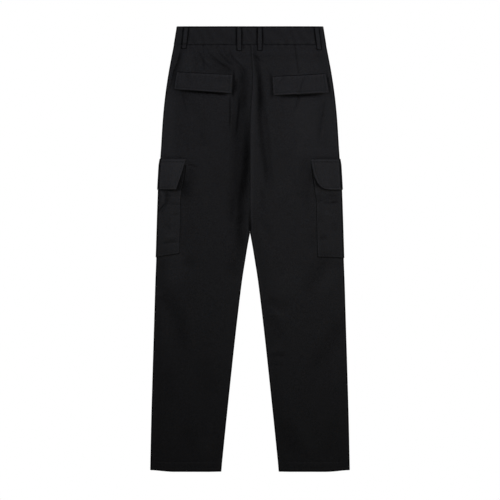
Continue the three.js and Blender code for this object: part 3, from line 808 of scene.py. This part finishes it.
def sew(name, rows, material, radius=0.3):
    """Rows of stitches as one piece. Each is a short round cord that dips into the cloth at its ends."""
    starts, ends, out = (np.concatenate(part) for part in zip(*rows))
    run = ends - starts
    aside = np.cross(run, out)
    aside /= np.linalg.norm(aside, axis=-1, keepdims=True)
    around = np.arange(5) * 2 * np.pi / 5
    stations = []
    for along, lift, size in ((0, -0.25, 0.6), (0.22, 0.16, 1), (0.78, 0.16, 1), (1, -0.25, 0.6)):
        centre = starts + along * run + lift * out
        circle = np.cos(around)[:, None, None] * aside + np.sin(around)[:, None, None] * out
        stations.append(centre + circle * radius * size)
    points = np.stack(stations).transpose(2, 0, 1, 3)
    points[..., 2] = np.maximum(points[..., 2], -0.3)
    sides = [[k + i, k + (i + 1) % 5, k + 5 + (i + 1) % 5, k + 5 + i] for k in (0, 5, 10) for i in range(5)]
    caps = [[0, 4, 3, 2], [0, 2, 1], [15, 16, 17, 18], [15, 18, 19]]
    faces = [[first + corner for corner in one] for first in range(0, 20 * len(starts), 20)
             for one in sides + caps]
    return new_piece(name, points.reshape(-1, 3), faces, material)


side_name = {-1: "left", 1: "right"}
seam_run = 24
end_strip = 9
column_step = 2.4
row_step = 3.2


def seam_start(side, y):
    """The reach of the side seam."""
    inset = seam_inset(side, y)
    return inset + (quarter_turn - edge_radius) * smooth(inset / 4)


def panel_rows(seat_step, leg_step):
    """Heights of a panel's grid as a column, closer together at the band, over the seat and at the hem."""
    return lines(waist_seam, (waist_seam - 9, 1.5), (370, seat_step), (hem_outer + hem_depth + 4, leg_step),
                 (hem_outer + hem_depth - 4, 1), (hem_outer, 2))[:, None]


def across_back(side, y):
    """Reaches across the back at heights given as a column: from the side seam to the centre or inseam."""
    first = quarter_turn + seam_run
    near = lines(0, (quarter_turn, 0.9), (first, column_step))
    start = seam_start(side, y)
    turn, _, _, whole = ring_spans(side, y, True)
    strip = end_strip + (edge_radius * turn - end_strip) * crotch_turn(y)
    last = whole - strip
    middle = lines(0, (1, column_step / 190))[1:]
    return np.hstack([start + (first - start) * near / first, first + (last - first) * middle,
                      last + strip * lines(0, (1, 1 / 8))[1:]])


def hem_drop(x, y):
    """The hem bows down towards the inseam. The bow grows over the hem's depth."""
    along = smooth((half_width(y) - np.abs(x)) / 60)
    return (hem_inner - hem_outer) * along * np.clip((hem_outer + hem_depth - y) / hem_depth, 0, 1)


def panel(name, side, reaches, y, node, rests_on):
    """A leg panel over a grid of reaches and heights, doubled inside over its turned-up hem."""
    outer = face(side, reaches, y)
    # Painted shade at the rolled edges, and on the back the painted shade and highlight of its folds and
    # seams.
    tone = rim_shade(side, reaches, y)
    if rests_on:
        tone = tone + painted_back_shade(outer[..., 0], outer[..., 1])
    outer[..., 1] += hem_drop(outer[..., 0], outer[..., 1])
    thick = cloth + hem_extra * (y < hem_outer + hem_depth)
    piece = shell(name, outer, side, thick, leg_twill, np.maximum(tone, darkest), round_edges="low")
    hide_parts(node)
    turned_up = hem_depth * np.ptp(reaches[-1]) / 1e6
    on_hem = y[:, 0] > hem_outer + hem_depth
    sewn = stitch_line(lambda u, v: face(side, u, v), reaches[on_hem][-1][2:-2],
                       hem_outer + hem_depth, -side)
    hem = sew(name + "_hem_stitches", [sewn], hem_thread, radius=0.27)
    grid_area(outer) + turned_up
    return piece


for side in (-1, 1):
    y = panel_rows(1.7, row_step)
    panel(f"{side_name[side]}_back_panel", side, across_back(side, y), y, f"back_{side_name[side]}",
          [f"front_{side_name[side]}"])

centre_run = lines(waist_seam - 4, (crotch + 30, 8))
sew("centre_back_stitches", [stitch_line(
    lambda u, v: face(1, u, v), reach_over(1, follow(centre_back_line, centre_run) + 3.2, centre_run),
    centre_run, -1)], black_thread, radius=0.26)


# Front leg panels. The front legs lie under the back ones, flat on the surface, cut in one in the same
# twill. They roll up round the side folds, and at the hip they reach a little way on to the back.
front_column_step = 6


def across_front(side, y):
    """Reaches across the front at heights given as a column: from the centre or inseam to the side seam."""
    turn, _, _, whole = ring_spans(side, y, False)
    strip = end_strip + (edge_radius * turn - end_strip) * crotch_turn(y)
    ends = strip * lines(0, (1, 1 / 5))[:-1] - whole
    flat = -quarter_turn + (quarter_turn - whole + strip) * lines(1, (0, front_column_step / 190))
    wrap = -quarter_turn + (seam_start(side, y) + quarter_turn) * lines(0, (1, 1 / 14))[1:]
    return np.hstack([ends, flat, wrap])


for side in (-1, 1):
    y = panel_rows(5, 5)
    panel(f"{side_name[side]}_front_panel", side, across_front(side, y), y, f"front_{side_name[side]}", [])


# Fly and waist button, on the hidden front. The fly is the sewn-down facing of the overlap, with a
# curved row of stitches. The button is black plastic, dished, with four holes, sewn under the band.
fly_cloth = 1.2
fly_corner = 30
fly_middle = 0.6


def fly_width_at(y):
    """Width of the fly at a height. Its lower corner is rounded."""
    into = np.clip((y - fly_bottom + 3) / fly_corner, 0, 1)
    return fly_width * np.sqrt(1 - (1 - into) ** 2)


def fly_place(share, y):
    """Points on the fly's outer face: share runs from the centre to its free edge."""
    x = -(fly_middle + share * (fly_width_at(y) - fly_middle))
    return over_cloth(-1, reach_over(-1, x, y, on_back=False), y, seam_gap + fly_cloth)


fly_rows = lines(fly_bottom, (fly_bottom + 12, 1.5), (waist_seam - 1, 5))[::-1][:, None]
fly_grid = fly_place(lines(0, (1, 1 / 12)), fly_rows)
fly_piece = shell("fly_facing", fly_grid, -1, fly_cloth, leg_twill)
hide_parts("fly")
fly_run = lines(waist_seam - 4, (fly_bottom + 4, 2))
fly_sewn = sew("fly_stitches", [stitch_line(
    fly_place, 1 - 3 / np.maximum(fly_width_at(fly_run), 6), fly_run, 1, nudge=0.02)], black_thread)
grid_area(fly_grid)

button_plastic, start = new_material("button_plastic")
place = start.node("ShaderNodeTexCoord", out="Object")
swirl = start.node("ShaderNodeTexNoise", sockets={"Vector": place, "Scale": 320.0, "Detail": 3.0})
dye = start.node("ShaderNodeVectorMath", {"operation": "SCALE"},
                 {0: (0.009, 0.009, 0.0098), "Scale": swirl * 0.8 + 0.6})
painted(start, start.node("ShaderNodeBsdfPrincipled", sockets={
    "Base Color": dye, "Roughness": swirl * 0.2 + 0.32, "Specular IOR Level": 0.4}))

button_x = -14
button_sides = 48
# Radii and heights of the button's half section, from its face round its rim to its under side.
button_profile = [(0, 0.9), (4.6, 0.9), (5.6, 0.55), (6.2, 0.1), (6.8, 0), (7.7, 0.05), (8.3, 0.4),
                  (8.5, 0.9), (8.4, 1.5), (8.0, 1.9), (7.4, 2), (0, 2)]
hole_radius = 0.95
hole_offset = 2.0


def button_disc():
    """The button turned round its axis, as points and faces, before its holes are cut."""
    around = np.arange(button_sides) * 2 * np.pi / button_sides
    after = [(i + 1) % button_sides for i in range(button_sides)]
    points = [(0, 0, button_profile[0][1])]
    for radius, height in button_profile[1:-1]:
        points += [(radius * math.cos(a), radius * math.sin(a), height) for a in around]
    points.append((0, 0, button_profile[-1][1]))
    faces = [(0, 1 + after[i], 1 + i) for i in range(button_sides)]
    for low in range(1, len(points) - 1 - button_sides, button_sides):
        high = low + button_sides
        faces += [(low + i, low + after[i], high + after[i], high + i) for i in range(button_sides)]
    last = len(points) - 1
    faces += [(last, last - button_sides + i, last - button_sides + after[i]) for i in range(button_sides)]
    return np.array(points, float), faces


def holed_button(name):
    """The button with four holes cut through it by booleans."""
    points, faces = button_disc()
    mesh = bpy.data.meshes.new(name)
    centre = [button_x, (waist_top + waist_seam) / 2, 0]
    mesh.from_pydata(metres(points + centre).tolist(), [], faces)
    piece = bpy.data.objects.new(name, mesh)
    bpy.context.collection.objects.link(piece)
    for turn in range(4):
        angle = math.pi / 4 + turn * math.pi / 2
        place = np.array(centre) + [hole_offset * math.cos(angle), hole_offset * math.sin(angle), 1]
        bpy.ops.mesh.primitive_cylinder_add(vertices=16, radius=hole_radius / 1000, depth=0.006,
                                            location=metres(place))
        cutter = bpy.context.object
        cut = piece.modifiers.new("hole", "BOOLEAN")
        cut.object = cutter
        cut.operation = "DIFFERENCE"
        cut.solver = "EXACT"
        bpy.context.view_layer.update()
        holed = bpy.data.meshes.new_from_object(piece.evaluated_get(bpy.context.evaluated_depsgraph_get()))
        piece.modifiers.clear()
        piece.data = holed
        bpy.data.objects.remove(cutter)
    piece.data.shade_smooth()
    piece.data.set_sharp_from_angle(angle=math.radians(40))
    piece.data.materials.clear()
    piece.data.materials.append(button_plastic)
    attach(piece, "root")
    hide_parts("waist_button")


holed_button("four_hole_button")


# Waistband. One doubled strip of the twill lies across the back from side seam to side seam, and two
# more meet at the centre front. Each is sewn to the panels along its lower edge and topstitched.
band_cloth = 2
band_proud = 0.4
band_top_stitch = 2.6
band_low_stitch = 2.4
band_stitch_rows = (waist_seam + band_low_stitch, waist_top - band_top_stitch)
# X of each back belt loop at the band's top and at its seam.
band_loops = ((-152.4, -157.6), (-26.4, -26), (23.4, 23.6), (159, 165.2))


def band_out(x, y):
    """How far the band's outer face stands off the line of the panels: fuller between its stitch rows."""
    up = y - waist_seam
    full = 0.55 * smooth((up - 2) / 6) * smooth((waist_top - y - 2) / 5)
    return (band_proud + full - 0.55 * bell(up, 1.4) - 0.3 * bell(up - band_low_stitch, 1.1)
            - 0.3 * bell(waist_top - band_top_stitch - y, 1.1)
            + puckers(x, up, 22, 19, 0.28) + puckers(x + 7, waist_top - y, 12, 15, 0.12))


def band_reach(side, share, y):
    """Reaches across one half of the back, from the side seam, where share is 1 or -1, to the centre."""
    start = seam_start(side, y)
    return start + (ring_spans(side, y, True)[3] - start) * (1 - np.abs(share))


def band_place(share, y):
    """Points on the back band. share runs from the left side seam, at -1, to the right one, at 1."""
    share, y = both(share, y)
    points = np.zeros(share.shape + (3,))
    for side in (-1, 1):
        reach = band_reach(side, share, y)
        x = face(side, reach, y)[..., 0]
        mine = share <= 0 if side < 0 else share > 0
        points[mine] = over_cloth(side, reach, y, band_out(x, y))[mine]
    return points


band_rows = lines(waist_seam, (waist_seam + 6, 1), (waist_top - 6, 2.2), (waist_top, 1))[::-1][:, None]
band_shares = lines(-1, (-0.93, 0.009), (0.93, 0.015), (1, 0.009))
band_grid = band_place(band_shares, band_rows)
band_x = band_grid[..., 0]
band_tone = np.where(band_x < 0, rim_shade(-1, band_reach(-1, band_shares, band_rows), band_rows),
                     rim_shade(1, band_reach(1, band_shares, band_rows), band_rows))
from_top = waist_top - band_rows
# Painted shade along the band's top edge and its seam, painted highlights below the top edge and on the
# puckers above the seam, and a slight mottle.
band_tone = (band_tone - 0.85 * (1 - smooth((from_top - 3.4) / 1.4)) + 0.45 * bell(from_top - 6.2, 1.3)
             - 0.34 * bell(band_rows - waist_seam, 1.5)
             + 0.12 * bell(band_rows - waist_seam - 5, 2.2) * (1 + np.sin(band_x / 2.9))
             + 0.08 * np.sin(band_x / 5 + 2 * np.sin(band_x / 17) + band_rows / 6))
# Painted shadow darkens the band along both edges of each loop.
for top_x, low_x in band_loops:
    off_loop = band_x - top_x - (low_x - top_x) * from_top / (waist_top - waist_seam)
    band_tone -= 0.5 * bell(np.abs(off_loop) - 7.6, 1.5)
back_band = shell("back_waistband", band_grid, -1, band_cloth, leg_twill,
                  np.maximum(band_tone, darkest), round_edges="top")
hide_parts("waistband_back")
band_sewn = sew("back_waistband_stitches", [
    stitch_line(band_place, np.linspace(-0.99, 0.99, 40), level, 1, nudge=0.01)
    for level in band_stitch_rows], black_thread, radius=0.26)


def front_reach(side, share, y):
    """Reaches across the front: share runs from the centre front, at 0, to the side seam, at 1."""
    whole = ring_spans(side, y, False)[3]
    return share * (whole + seam_start(side, y)) - whole


for side in (-1, 1):
    def front_band_place(share, y, side=side):
        """Points on a front band. share runs from the centre front, at 0, to the side seam, at 1."""
        share, y = both(share, y)
        return over_cloth(side, front_reach(side, share, y), y, band_proud)

    front_rows = lines(waist_seam, (waist_seam + 4, 1), (waist_top - 4, 5), (waist_top, 1))[::-1][:, None]
    front_shares = lines(0, (0.88, 0.03), (1, 0.006))
    front_grid = front_band_place(front_shares, front_rows)
    front_tone = rim_shade(side, front_reach(side, front_shares, front_rows), front_rows)
    front_band = shell(f"{side_name[side]}_front_waistband", front_grid, side, band_cloth, leg_twill,
                       front_tone, round_edges="top")
    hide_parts(f"waistband_front_{side_name[side]}")
    sewn = sew(f"{side_name[side]}_front_waistband_stitches", [
        stitch_line(front_band_place, np.linspace(0.02, 0.86, 30), level, -side, nudge=0.01)
        for level in band_stitch_rows], black_thread, radius=0.26)


# Belt loops. Folded strips of the twill, 13.4 mm wide with a row of stitches near each edge, sewn over
# the band at its top and to the panel below it. Four show on the back and two are on the front.
loop_width = 13.4
loop_cloth = 1.2
loop_stitch_in = 2.6
# Each loop's solid, its X at the top and at its foot, its foot's height, and whether it is on the back.
loops = [
    ("belt_loop_back_left_side", -152.4, -158.4, 482, True),
    ("belt_loop_back_left", -26.4, -25.6, 476.7, True),
    ("belt_loop_back_right", 23.4, 23.6, 477, True),
    ("belt_loop_back_right_side", 159, 166.2, 479.4, True),
    ("belt_loop_front_left", -84, -86, 480, False),
    ("belt_loop_front_right", 84, 86, 480, False),
]


def belt_loop(node, top_x, low_x, low_y, on_back):
    """A loop with two rows of stitches along it and short ones across its ends."""
    side = int(math.copysign(1, top_x))
    top = waist_top - 0.5
    arch = 1.5 if on_back else 0.3

    def place(offset, y):
        """Points on the loop's outer face: offset runs across it, from its middle."""
        offset, y = both(offset, y)
        middle = low_x + (top_x - low_x) * (y - low_y) / (top - low_y)
        edge = np.abs(offset) / (loop_width / 2)
        over_band = smooth((y - waist_seam + 5) / 5)
        free = np.sin(np.pi * np.clip((y - waist_seam) / (top - waist_seam), 0, 1))
        full = 0.45 * (1 - edge ** 4) - 0.22 * bell(np.abs(offset) - loop_width / 2 + loop_stitch_in, 0.8)
        out = seam_gap + (band_proud + 0.5) * over_band + arch * free + loop_cloth + full * on_back
        return over_cloth(side, reach_over(side, middle + offset, y, on_back), y, out)

    rows = lines(low_y, (low_y + 3, 0.75), (top - 3, 2.2), (top, 0.75))[::-1][:, None]
    offsets = lines(-loop_width / 2, (loop_width / 2, loop_width / 16))[None, :]
    grid = place(offsets, rows)
    aside = np.abs(offsets)
    # Painted shade along the loop's edges and ends, and a painted highlight down its middle.
    shade_and_wear = (0.22 * (1 - smooth((aside - 2) / 2)) - 0.85 * smooth((aside - 3.7) / 1.5)
            - 0.85 * (1 - smooth((rows - low_y - 1.4) / 1.6)) - 0.8 * (1 - smooth((top - rows - 2.9) / 1.4)))
    shade_and_wear = np.maximum(np.broadcast_to(shade_and_wear, grid.shape[:2]), -0.85)
    facing = 1 if on_back else -1
    piece = shell(node + "_strip", grid, -facing, loop_cloth, leg_twill, shade_and_wear)
    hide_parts(node)
    ends = [stitch_line(place, np.linspace(-4.6, 4.6, 12), level, facing, length=1.2, gap=0.1)
            for level in (low_y + 2, low_y + 3.4, top - 2.2)]
    sides = [stitch_line(place, offset, np.linspace(low_y + 4, top - 3, 30), facing)
             for offset in (loop_stitch_in - loop_width / 2, loop_width / 2 - loop_stitch_in)]
    sewn = sew(node + "_stitches", sides + ends, black_thread, radius=0.26)


for loop in loops:
    belt_loop(*loop)


# Back pocket flaps. Doubled twill, a little lighter than the legs, sewn on along their top edges and
# topstitched near the other three. Their lower edges stand off the seat.
flap_cloth = 2
flap_lift_low = 4.2
flap_sewn = 0.5
flap_stitch_in = 4.2
flap_twill = twill("flap_twill", (0.0135, 0.0135, 0.0143))
flap_corners = {
    -1: {"top_outer": (-174.5, 427.2), "top_inner": (-41.5, 420.9),
         "low_inner": (-44.2, 375), "low_outer": (-181.7, 384.8)},
    1: {"top_outer": (180.7, 423.2), "top_inner": (52.6, 416.1),
        "low_inner": (55.7, 370), "low_outer": (188.9, 376.6)},
}
flap_folds = {
    -1: [fold(-1.1, 8, 8, (-150, 424), (-141, 392)),
         fold(-0.5, 26, 20, (-82, 414), (-76, 392)),
         fold(0.6, 12, 10, (-168, 424), (-166, 388)),
         fold(-0.4, 7, 7, (-108, 420), (-101, 384))],
    1: [fold(-1.3, 5, 3, (134, 424), (127, 404), (119, 380), (114, 366)),
        fold(-1.1, 5, 3, (86, 420), (76, 407), (64, 390)),
        fold(0.6, 8, 6, (146, 420), (136, 384))],
}


def back_flap(side):
    """A flap over a back pocket, with its stitches."""
    corner = {key: np.array(value, float) for key, value in flap_corners[side].items()}
    wide = np.linalg.norm(corner["top_outer"] - corner["top_inner"])
    deep = np.linalg.norm(corner["top_inner"] - corner["low_inner"])

    def from_edge(share, down):
        """Distance in from the nearest of the three free edges."""
        return np.minimum(np.minimum(share, 1 - share) * wide, (1 - down) * deep)

    def place(share, down):
        """Points on the flap's outer face: share runs in from its outer end, down from its sewn edge."""
        share, down = both(share, down)
        s, t = share[..., None], down[..., None]
        spot = ((corner["top_outer"] * (1 - s) + corner["top_inner"] * s) * (1 - t)
                + (corner["low_outer"] * (1 - s) + corner["low_inner"] * s) * t)
        x, y = spot[..., 0], spot[..., 1]
        edge = from_edge(share, down)
        groove = bell(edge - flap_stitch_in, 1.2)
        free = 0.08 + 0.92 * smooth((np.minimum(share, 1 - share) * wide - 5) / 14)
        lift = (flap_sewn + (flap_lift_low - flap_sewn) * down ** 1.4 * free
                + 0.3 * np.sin(9 * share + 1) * down)
        full = (0.5 * smooth(edge / 1.5) - 0.5 * groove - 0.5 * bell(down * deep, 1.5)
                + puckers(share * wide, down * deep, 22, 9, 0.22) * smooth(edge / 3))
        out = lift + flap_cloth + full + folded(x, y, flap_folds[side]) + 0.5 * uneven(x * 1.7, y * 1.7)
        return over_cloth(side, reach_over(side, x, y), y, out)

    shares = lines(0, (0.05, 0.0085), (0.95, 0.0165), (1, 0.0085))[None, :]
    downs = lines(0, (0.1, 0.03), (0.84, 0.05), (1, 0.025))[:, None]
    share, down = both(shares, downs)
    grid = place(share, down)
    edge = from_edge(share, down)
    from_sewn = down * deep
    from_inner = (1 - share) * wide
    x = grid[..., 0]
    # Painted highlight along the free edges and below the sewn top, and painted shade by the stitches, along
    # the sewn top, at the inner end and in the troughs of the folds, with a slight mottle.
    shade_and_wear = (0.4 * bell(edge - 1.6, 1.6) - 0.25 * bell(edge - 4.6, 1.3)
            - 0.75 * (1 - smooth((from_sewn - 1.2) / 2)) + 0.25 * bell(from_sewn - 5, 1.8)
            - 0.2 * (1 - smooth((from_inner - 0.8) / 1.4)) + 0.16 * folded(x, grid[..., 1], flap_folds[side])
            + 0.08 * np.sin(x / 2.3 + 2 * np.sin(x / 9)) * (1 - down))
    shade_and_wear = np.clip(shade_and_wear + 0.05, -0.85, 0.5)
    piece = shell(f"{side_name[side]}_back_flap", grid, side, flap_cloth, flap_twill, shade_and_wear)
    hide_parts(f"back_pocket_flap_{side_name[side]}")
    in_s, in_t = flap_stitch_in / wide, flap_stitch_in / deep
    outline_s = np.array([in_s, in_s, 1 - in_s, 1 - in_s])
    outline_t = np.array([0.02, 1 - in_t, 1 - in_t, 0.02])
    rows = [stitch_line(place, outline_s[i:i + 2], outline_t[i:i + 2], side, nudge=0.004) for i in range(3)]
    rows.append(stitch_line(place, (0.01, 0.99), 0.06, side, nudge=0.004))
    sewn = sew(f"{side_name[side]}_back_flap_stitches", rows, black_thread, radius=0.27)


for side in (-1, 1):
    back_flap(side)


# Cargo pockets. A bag of the same twill is sewn round each side fold, from the hidden front on to the
# back. Its edges are turned in and topstitched, and it lies in a few creases of its own.
bag_top = 203
bag_cloth = 1.2
bag_stitch_in = 2.8
bag_edge = {
    -1: [(560, 153), (205, 153), (160, 158.5), (138, 163), (122, 165.5), (60, 166.5), (-8, 168.7)],
    1: [(560, 147.4), (205, 147.4), (160, 151.5), (138, 155), (122, 157.6), (73, 159), (-17, 161.5)]}
bag_bottom = {-1: {"inner": -8, "outer": -17.5}, 1: {"inner": -17, "outer": -19.5}}
bag_folds = {
    -1: [fold(-2.4, 6, 4, (-217, 80), (-212, 92), (-203, 107), (-202, 116), (-206, 132)),
         fold(1.8, 9, 6, (-216, 108), (-210, 122), (-212, 140)),
         fold(-1.5, 4, 3, (-202, 112), (-176, 111), (-150, 112)),
         fold(-1.2, 5, 4, (-190, 83), (-176, 85), (-162, 90)),
         fold(-2.8, 6, 4, (-214, 15), (-192, 19), (-168, 22)),
         fold(1.0, 7, 6, (-210, 28), (-190, 32), (-172, 34)),
         fold(-1.3, 12, 10, (-204, 62), (-190, 44)),
         fold(-1.6, 12, 9, (-207, 143), (-196, 128), (-198, 112))],
    1: [fold(-1.6, 5, 4, (150, 118), (162, 116), (176, 118)),
        fold(-1.6, 6, 5, (168, 114), (190, 111), (214, 117)),
        fold(-2.0, 10, 10, (166, 32), (176, 28), (186, 32)),
        fold(-1.1, 9, 8, (160, 92), (168, 62)),
        fold(-0.8, 10, 8, (186, 136), (197, 127), (206, 134)),
        fold(-1.0, 12, 12, (200, 70), (206, 40)),
        fold(1.0, 9, 9, (178, 92), (196, 80))]}

# Painted shade in the sharpest creases of the left bag, where its upper part is pinched at the side fold,
# soft painted shades, and the painted shadow along the lower edge of the right flap.
bag_shades = {
    -1: [fold(-0.85, 2.6, 2.6, (-226, 84), (-214, 99), (-204.5, 110.5), (-202, 116)),
         fold(-0.3, 3, 3, (-204, 110), (-178, 109), (-150, 110)),
         fold(-0.3, 6, 6, (-202, 140), (-198, 122), (-198, 108)),
         fold(0.2, 5, 5, (-213, 146), (-212, 104))],
    1: [fold(-0.16, 10, 10, (150, 126), (176, 124), (220, 126)),
        fold(-0.3, 5, 4, (194, 113), (212, 116)),
        fold(-0.8, 2, 2, (149, 184), (154.5, 170), (160, 158.5), (165.5, 152), (172, 147), (180, 144),
             (190, 142.8), (228, 142.8))]}


def back_run(side, y, edges):
    """Length on the back from the side fold to the edge of a piece, whose rows are a height and an X."""
    return reach_over(side, side * follow(edges[side], y), y)


def wrap_reach(side, share, y, edges):
    """Reaches round a cargo pocket piece: its front edge at -1, the side fold at 0, its back edge at 1."""
    front = quarter_turn + bag_front_reach
    return np.where(share > 0, share * back_run(side, y, edges), share * front)


def cargo_pocket(side):
    """The bag of a cargo pocket, with its stitches."""
    which = bag_bottom[side]

    def place(share, down):
        """Points on the bag's outer face, with down from 0 at its top to 1 at its sewn bottom."""
        share, down = both(share, down)
        flat_y = bag_top + down * (which["outer"] - bag_top)
        reach = wrap_reach(side, share, flat_y, bag_edge)
        low = which["outer"] + (which["inner"] - which["outer"]) * np.clip(reach / 60, 0, 1)
        y = bag_top + down * (low - bag_top)
        x = face(side, reach, y)[..., 0]
        from_edge = (1 - share) * back_run(side, y, bag_edge)
        edge = np.minimum(from_edge, (1 - down) * (bag_top - low))
        on_back = smooth(reach / 8)
        full = (0.9 * smooth((edge - 3) / 14) * smooth(reach / 16) + 0.25 * smooth(edge / 1.2)
                - 0.3 * bell(edge - bag_stitch_in, 1.1)) * on_back
        own = folded(x, y, bag_folds[side]) + 0.5 * uneven(x * 1.5 + 40, y * 1.5)
        own = own * on_back * smooth(edge / 4)
        return over_cloth(side, reach, y, seam_gap + bag_cloth + np.maximum(full + own, -0.1))

    shares = lines(-1, (-0.06, 0.045), (0.1, 0.012), (1, 0.03))
    downs = lines(0, (0.96, 0.0095), (1, 0.006))
    share, down = both(shares, downs[:, None])
    grid = place(share, down)
    y = grid[..., 1]
    reach = wrap_reach(side, share, y, bag_edge)
    from_edge = (1 - share) * back_run(side, y, bag_edge)
    from_low = (1 - down) * (bag_top - which["outer"])
    # Painted shade in the troughs and along the edges, painted shadow under the flap, and painted light on
    # the left bag.
    dark, dark_from = (0.8, flap_bottom - 6) if side < 0 else (0.45, flap_bottom + 2)
    shade_and_wear = (0.13 * folded(grid[..., 0], y, bag_folds[side]) - 0.6 * (1 - smooth((from_edge - 0.8) / 1.6))
            + 0.06 * bell(from_edge - 4, 1.6) - 0.6 * (1 - smooth((from_low - 0.8) / 1.6))
            + 0.08 * bell(from_low - 4, 1.6) - dark * smooth((y - dark_from) / 6)
            + folded(grid[..., 0], y, bag_shades[side], 0.2) + (0.32 if side < 0 else 0.08))
    tone = np.clip(rim_shade(side, reach, y) + shade_and_wear, -0.9, 0.5)
    piece = shell(f"{side_name[side]}_cargo_bag", grid, side, bag_cloth, leg_twill, tone)
    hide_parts(f"cargo_pocket_{side_name[side]}")
    inner_row = 1 - bag_stitch_in / back_run(side, 60.0, bag_edge)
    low_row = 1 - bag_stitch_in / (bag_top - which["outer"])
    rows = [stitch_line(place, inner_row, np.linspace(0.02, low_row, 40), side, nudge=0.004),
            stitch_line(place, np.linspace(inner_row, -0.98, 60), low_row, side, nudge=0.004)]
    sewn = sew(f"{side_name[side]}_cargo_bag_stitches", rows, black_thread, radius=0.26)


for side in (-1, 1):
    cargo_pocket(side)


# Cargo flaps. One over each bag, of the same lighter twill as the back flaps. It is sewn along its top with
# two rows and topstitched round its edge. The left one curls up at its corner, the right one is rounded.
cargo_flap_cloth = 1.2
cargo_flap_stitch_in = 4.4
cargo_flap_edge = {
    -1: [(219, 152.4), (186, 163), (146, 176.4), (144, 177.6)],
    1: [(219, 146.4), (200, 148.2), (184, 152), (172, 156), (161, 161), (154, 166.4), (149, 172.5),
        (146, 180), (144, 188)]}
cargo_flap_curl = {-1: 5.2, 1: 3.0}
cargo_flap_folds = {
    -1: [fold(-0.5, 8, 6, (-206, 190), (-180, 194))],
    1: [fold(-0.7, 5, 4, (162, 212), (170, 201), (182, 196)), fold(-0.5, 7, 6, (198, 206), (190, 176))],
}


def cargo_flap(side):
    """The flap over a cargo bag, with its stitches."""

    def place(share, y):
        """Points on the flap's outer face: share runs from its front edge, at -1, to its back edge, at 1."""
        share, y = both(share, y)
        reach = wrap_reach(side, share, y, cargo_flap_edge)
        x = face(side, reach, y)[..., 0]
        down = (flap_top - y) / (flap_top - flap_bottom)
        over_bag = 2 * seam_gap + bag_cloth + 0.3
        sewn_to = 0.4 + (over_bag - 0.4) * np.clip((flap_top - y) / (flap_top - bag_top - 1), 0, 1)
        edge = np.minimum((1 - share) * back_run(side, y, cargo_flap_edge), y - flap_bottom)
        on_back = smooth(reach / 8)
        curl = cargo_flap_curl[side] * smooth(down) ** 1.3 * smooth((share - 0.35) / 0.65)
        full = (0.9 * smooth(down * 3) * smooth(reach / 20) + 0.45 * smooth(edge / 1.5)
                - 0.32 * bell(edge - cargo_flap_stitch_in, 1.2) - 0.3 * bell(flap_top - y - 2.2, 1)
                - 0.4 * bell(flap_top - y - 7, 1)) * on_back
        own = (folded(x, y, cargo_flap_folds[side]) + 0.5 * uneven(x * 1.6 + 90, y * 1.6)) * on_back
        out = sewn_to + cargo_flap_cloth + curl + np.maximum(full + own * 0.8, -0.1)
        return over_cloth(side, reach, y, out)

    shares = lines(-1, (-0.06, 0.045), (0.1, 0.012), (1, 0.022))
    rows = lines(flap_top, (flap_top - 12, 1.2), (flap_bottom + 12, 1.8), (flap_bottom, 0.9))
    share, y = both(shares, rows[:, None])
    grid = place(share, y)
    edge = np.minimum((1 - share) * back_run(side, y, cargo_flap_edge), y - flap_bottom)
    reach = wrap_reach(side, share, y, cargo_flap_edge)
    from_top = flap_top - y
    # Painted highlight along the free edges and below the sewn top, painted shade by the stitches and along
    # the top, and painted light over the left flap.
    shade_and_wear = (0.35 * bell(edge - 1.8, 1.7) - 0.4 * bell(edge - 5, 1.2)
            - 0.7 * (1 - smooth((from_top - 0.8) / 1.8)) + 0.35 * bell(from_top - 4.4, 1.5)
            - 0.8 * bell(from_top - 7, 1.2) + (0.44 if side < 0 else 0.1))
    shade_and_wear = np.clip(shade_and_wear + rim_shade(side, reach, y), -0.85, 0.6)
    piece = shell(f"{side_name[side]}_cargo_flap", grid, side, cargo_flap_cloth, flap_twill,
                  shade_and_wear)
    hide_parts(f"cargo_flap_{side_name[side]}")
    low_row = flap_bottom + cargo_flap_stitch_in
    heights = lines(flap_top - 1, (low_row, 3))
    inner_row = 1 - cargo_flap_stitch_in / back_run(side, heights, cargo_flap_edge)
    rows = [stitch_line(place, inner_row, heights, -side, nudge=0.01)]
    rows += [stitch_line(place, np.linspace(begun, -0.98, 60), level, -side, nudge=0.01)
             for begun, level in ((inner_row[-1], low_row), (0.985, flap_top - 2.2), (0.985, flap_top - 7))]
    sewn = sew(f"{side_name[side]}_cargo_flap_stitches", rows, black_thread, radius=0.27)


for side in (-1, 1):
    cargo_flap(side)
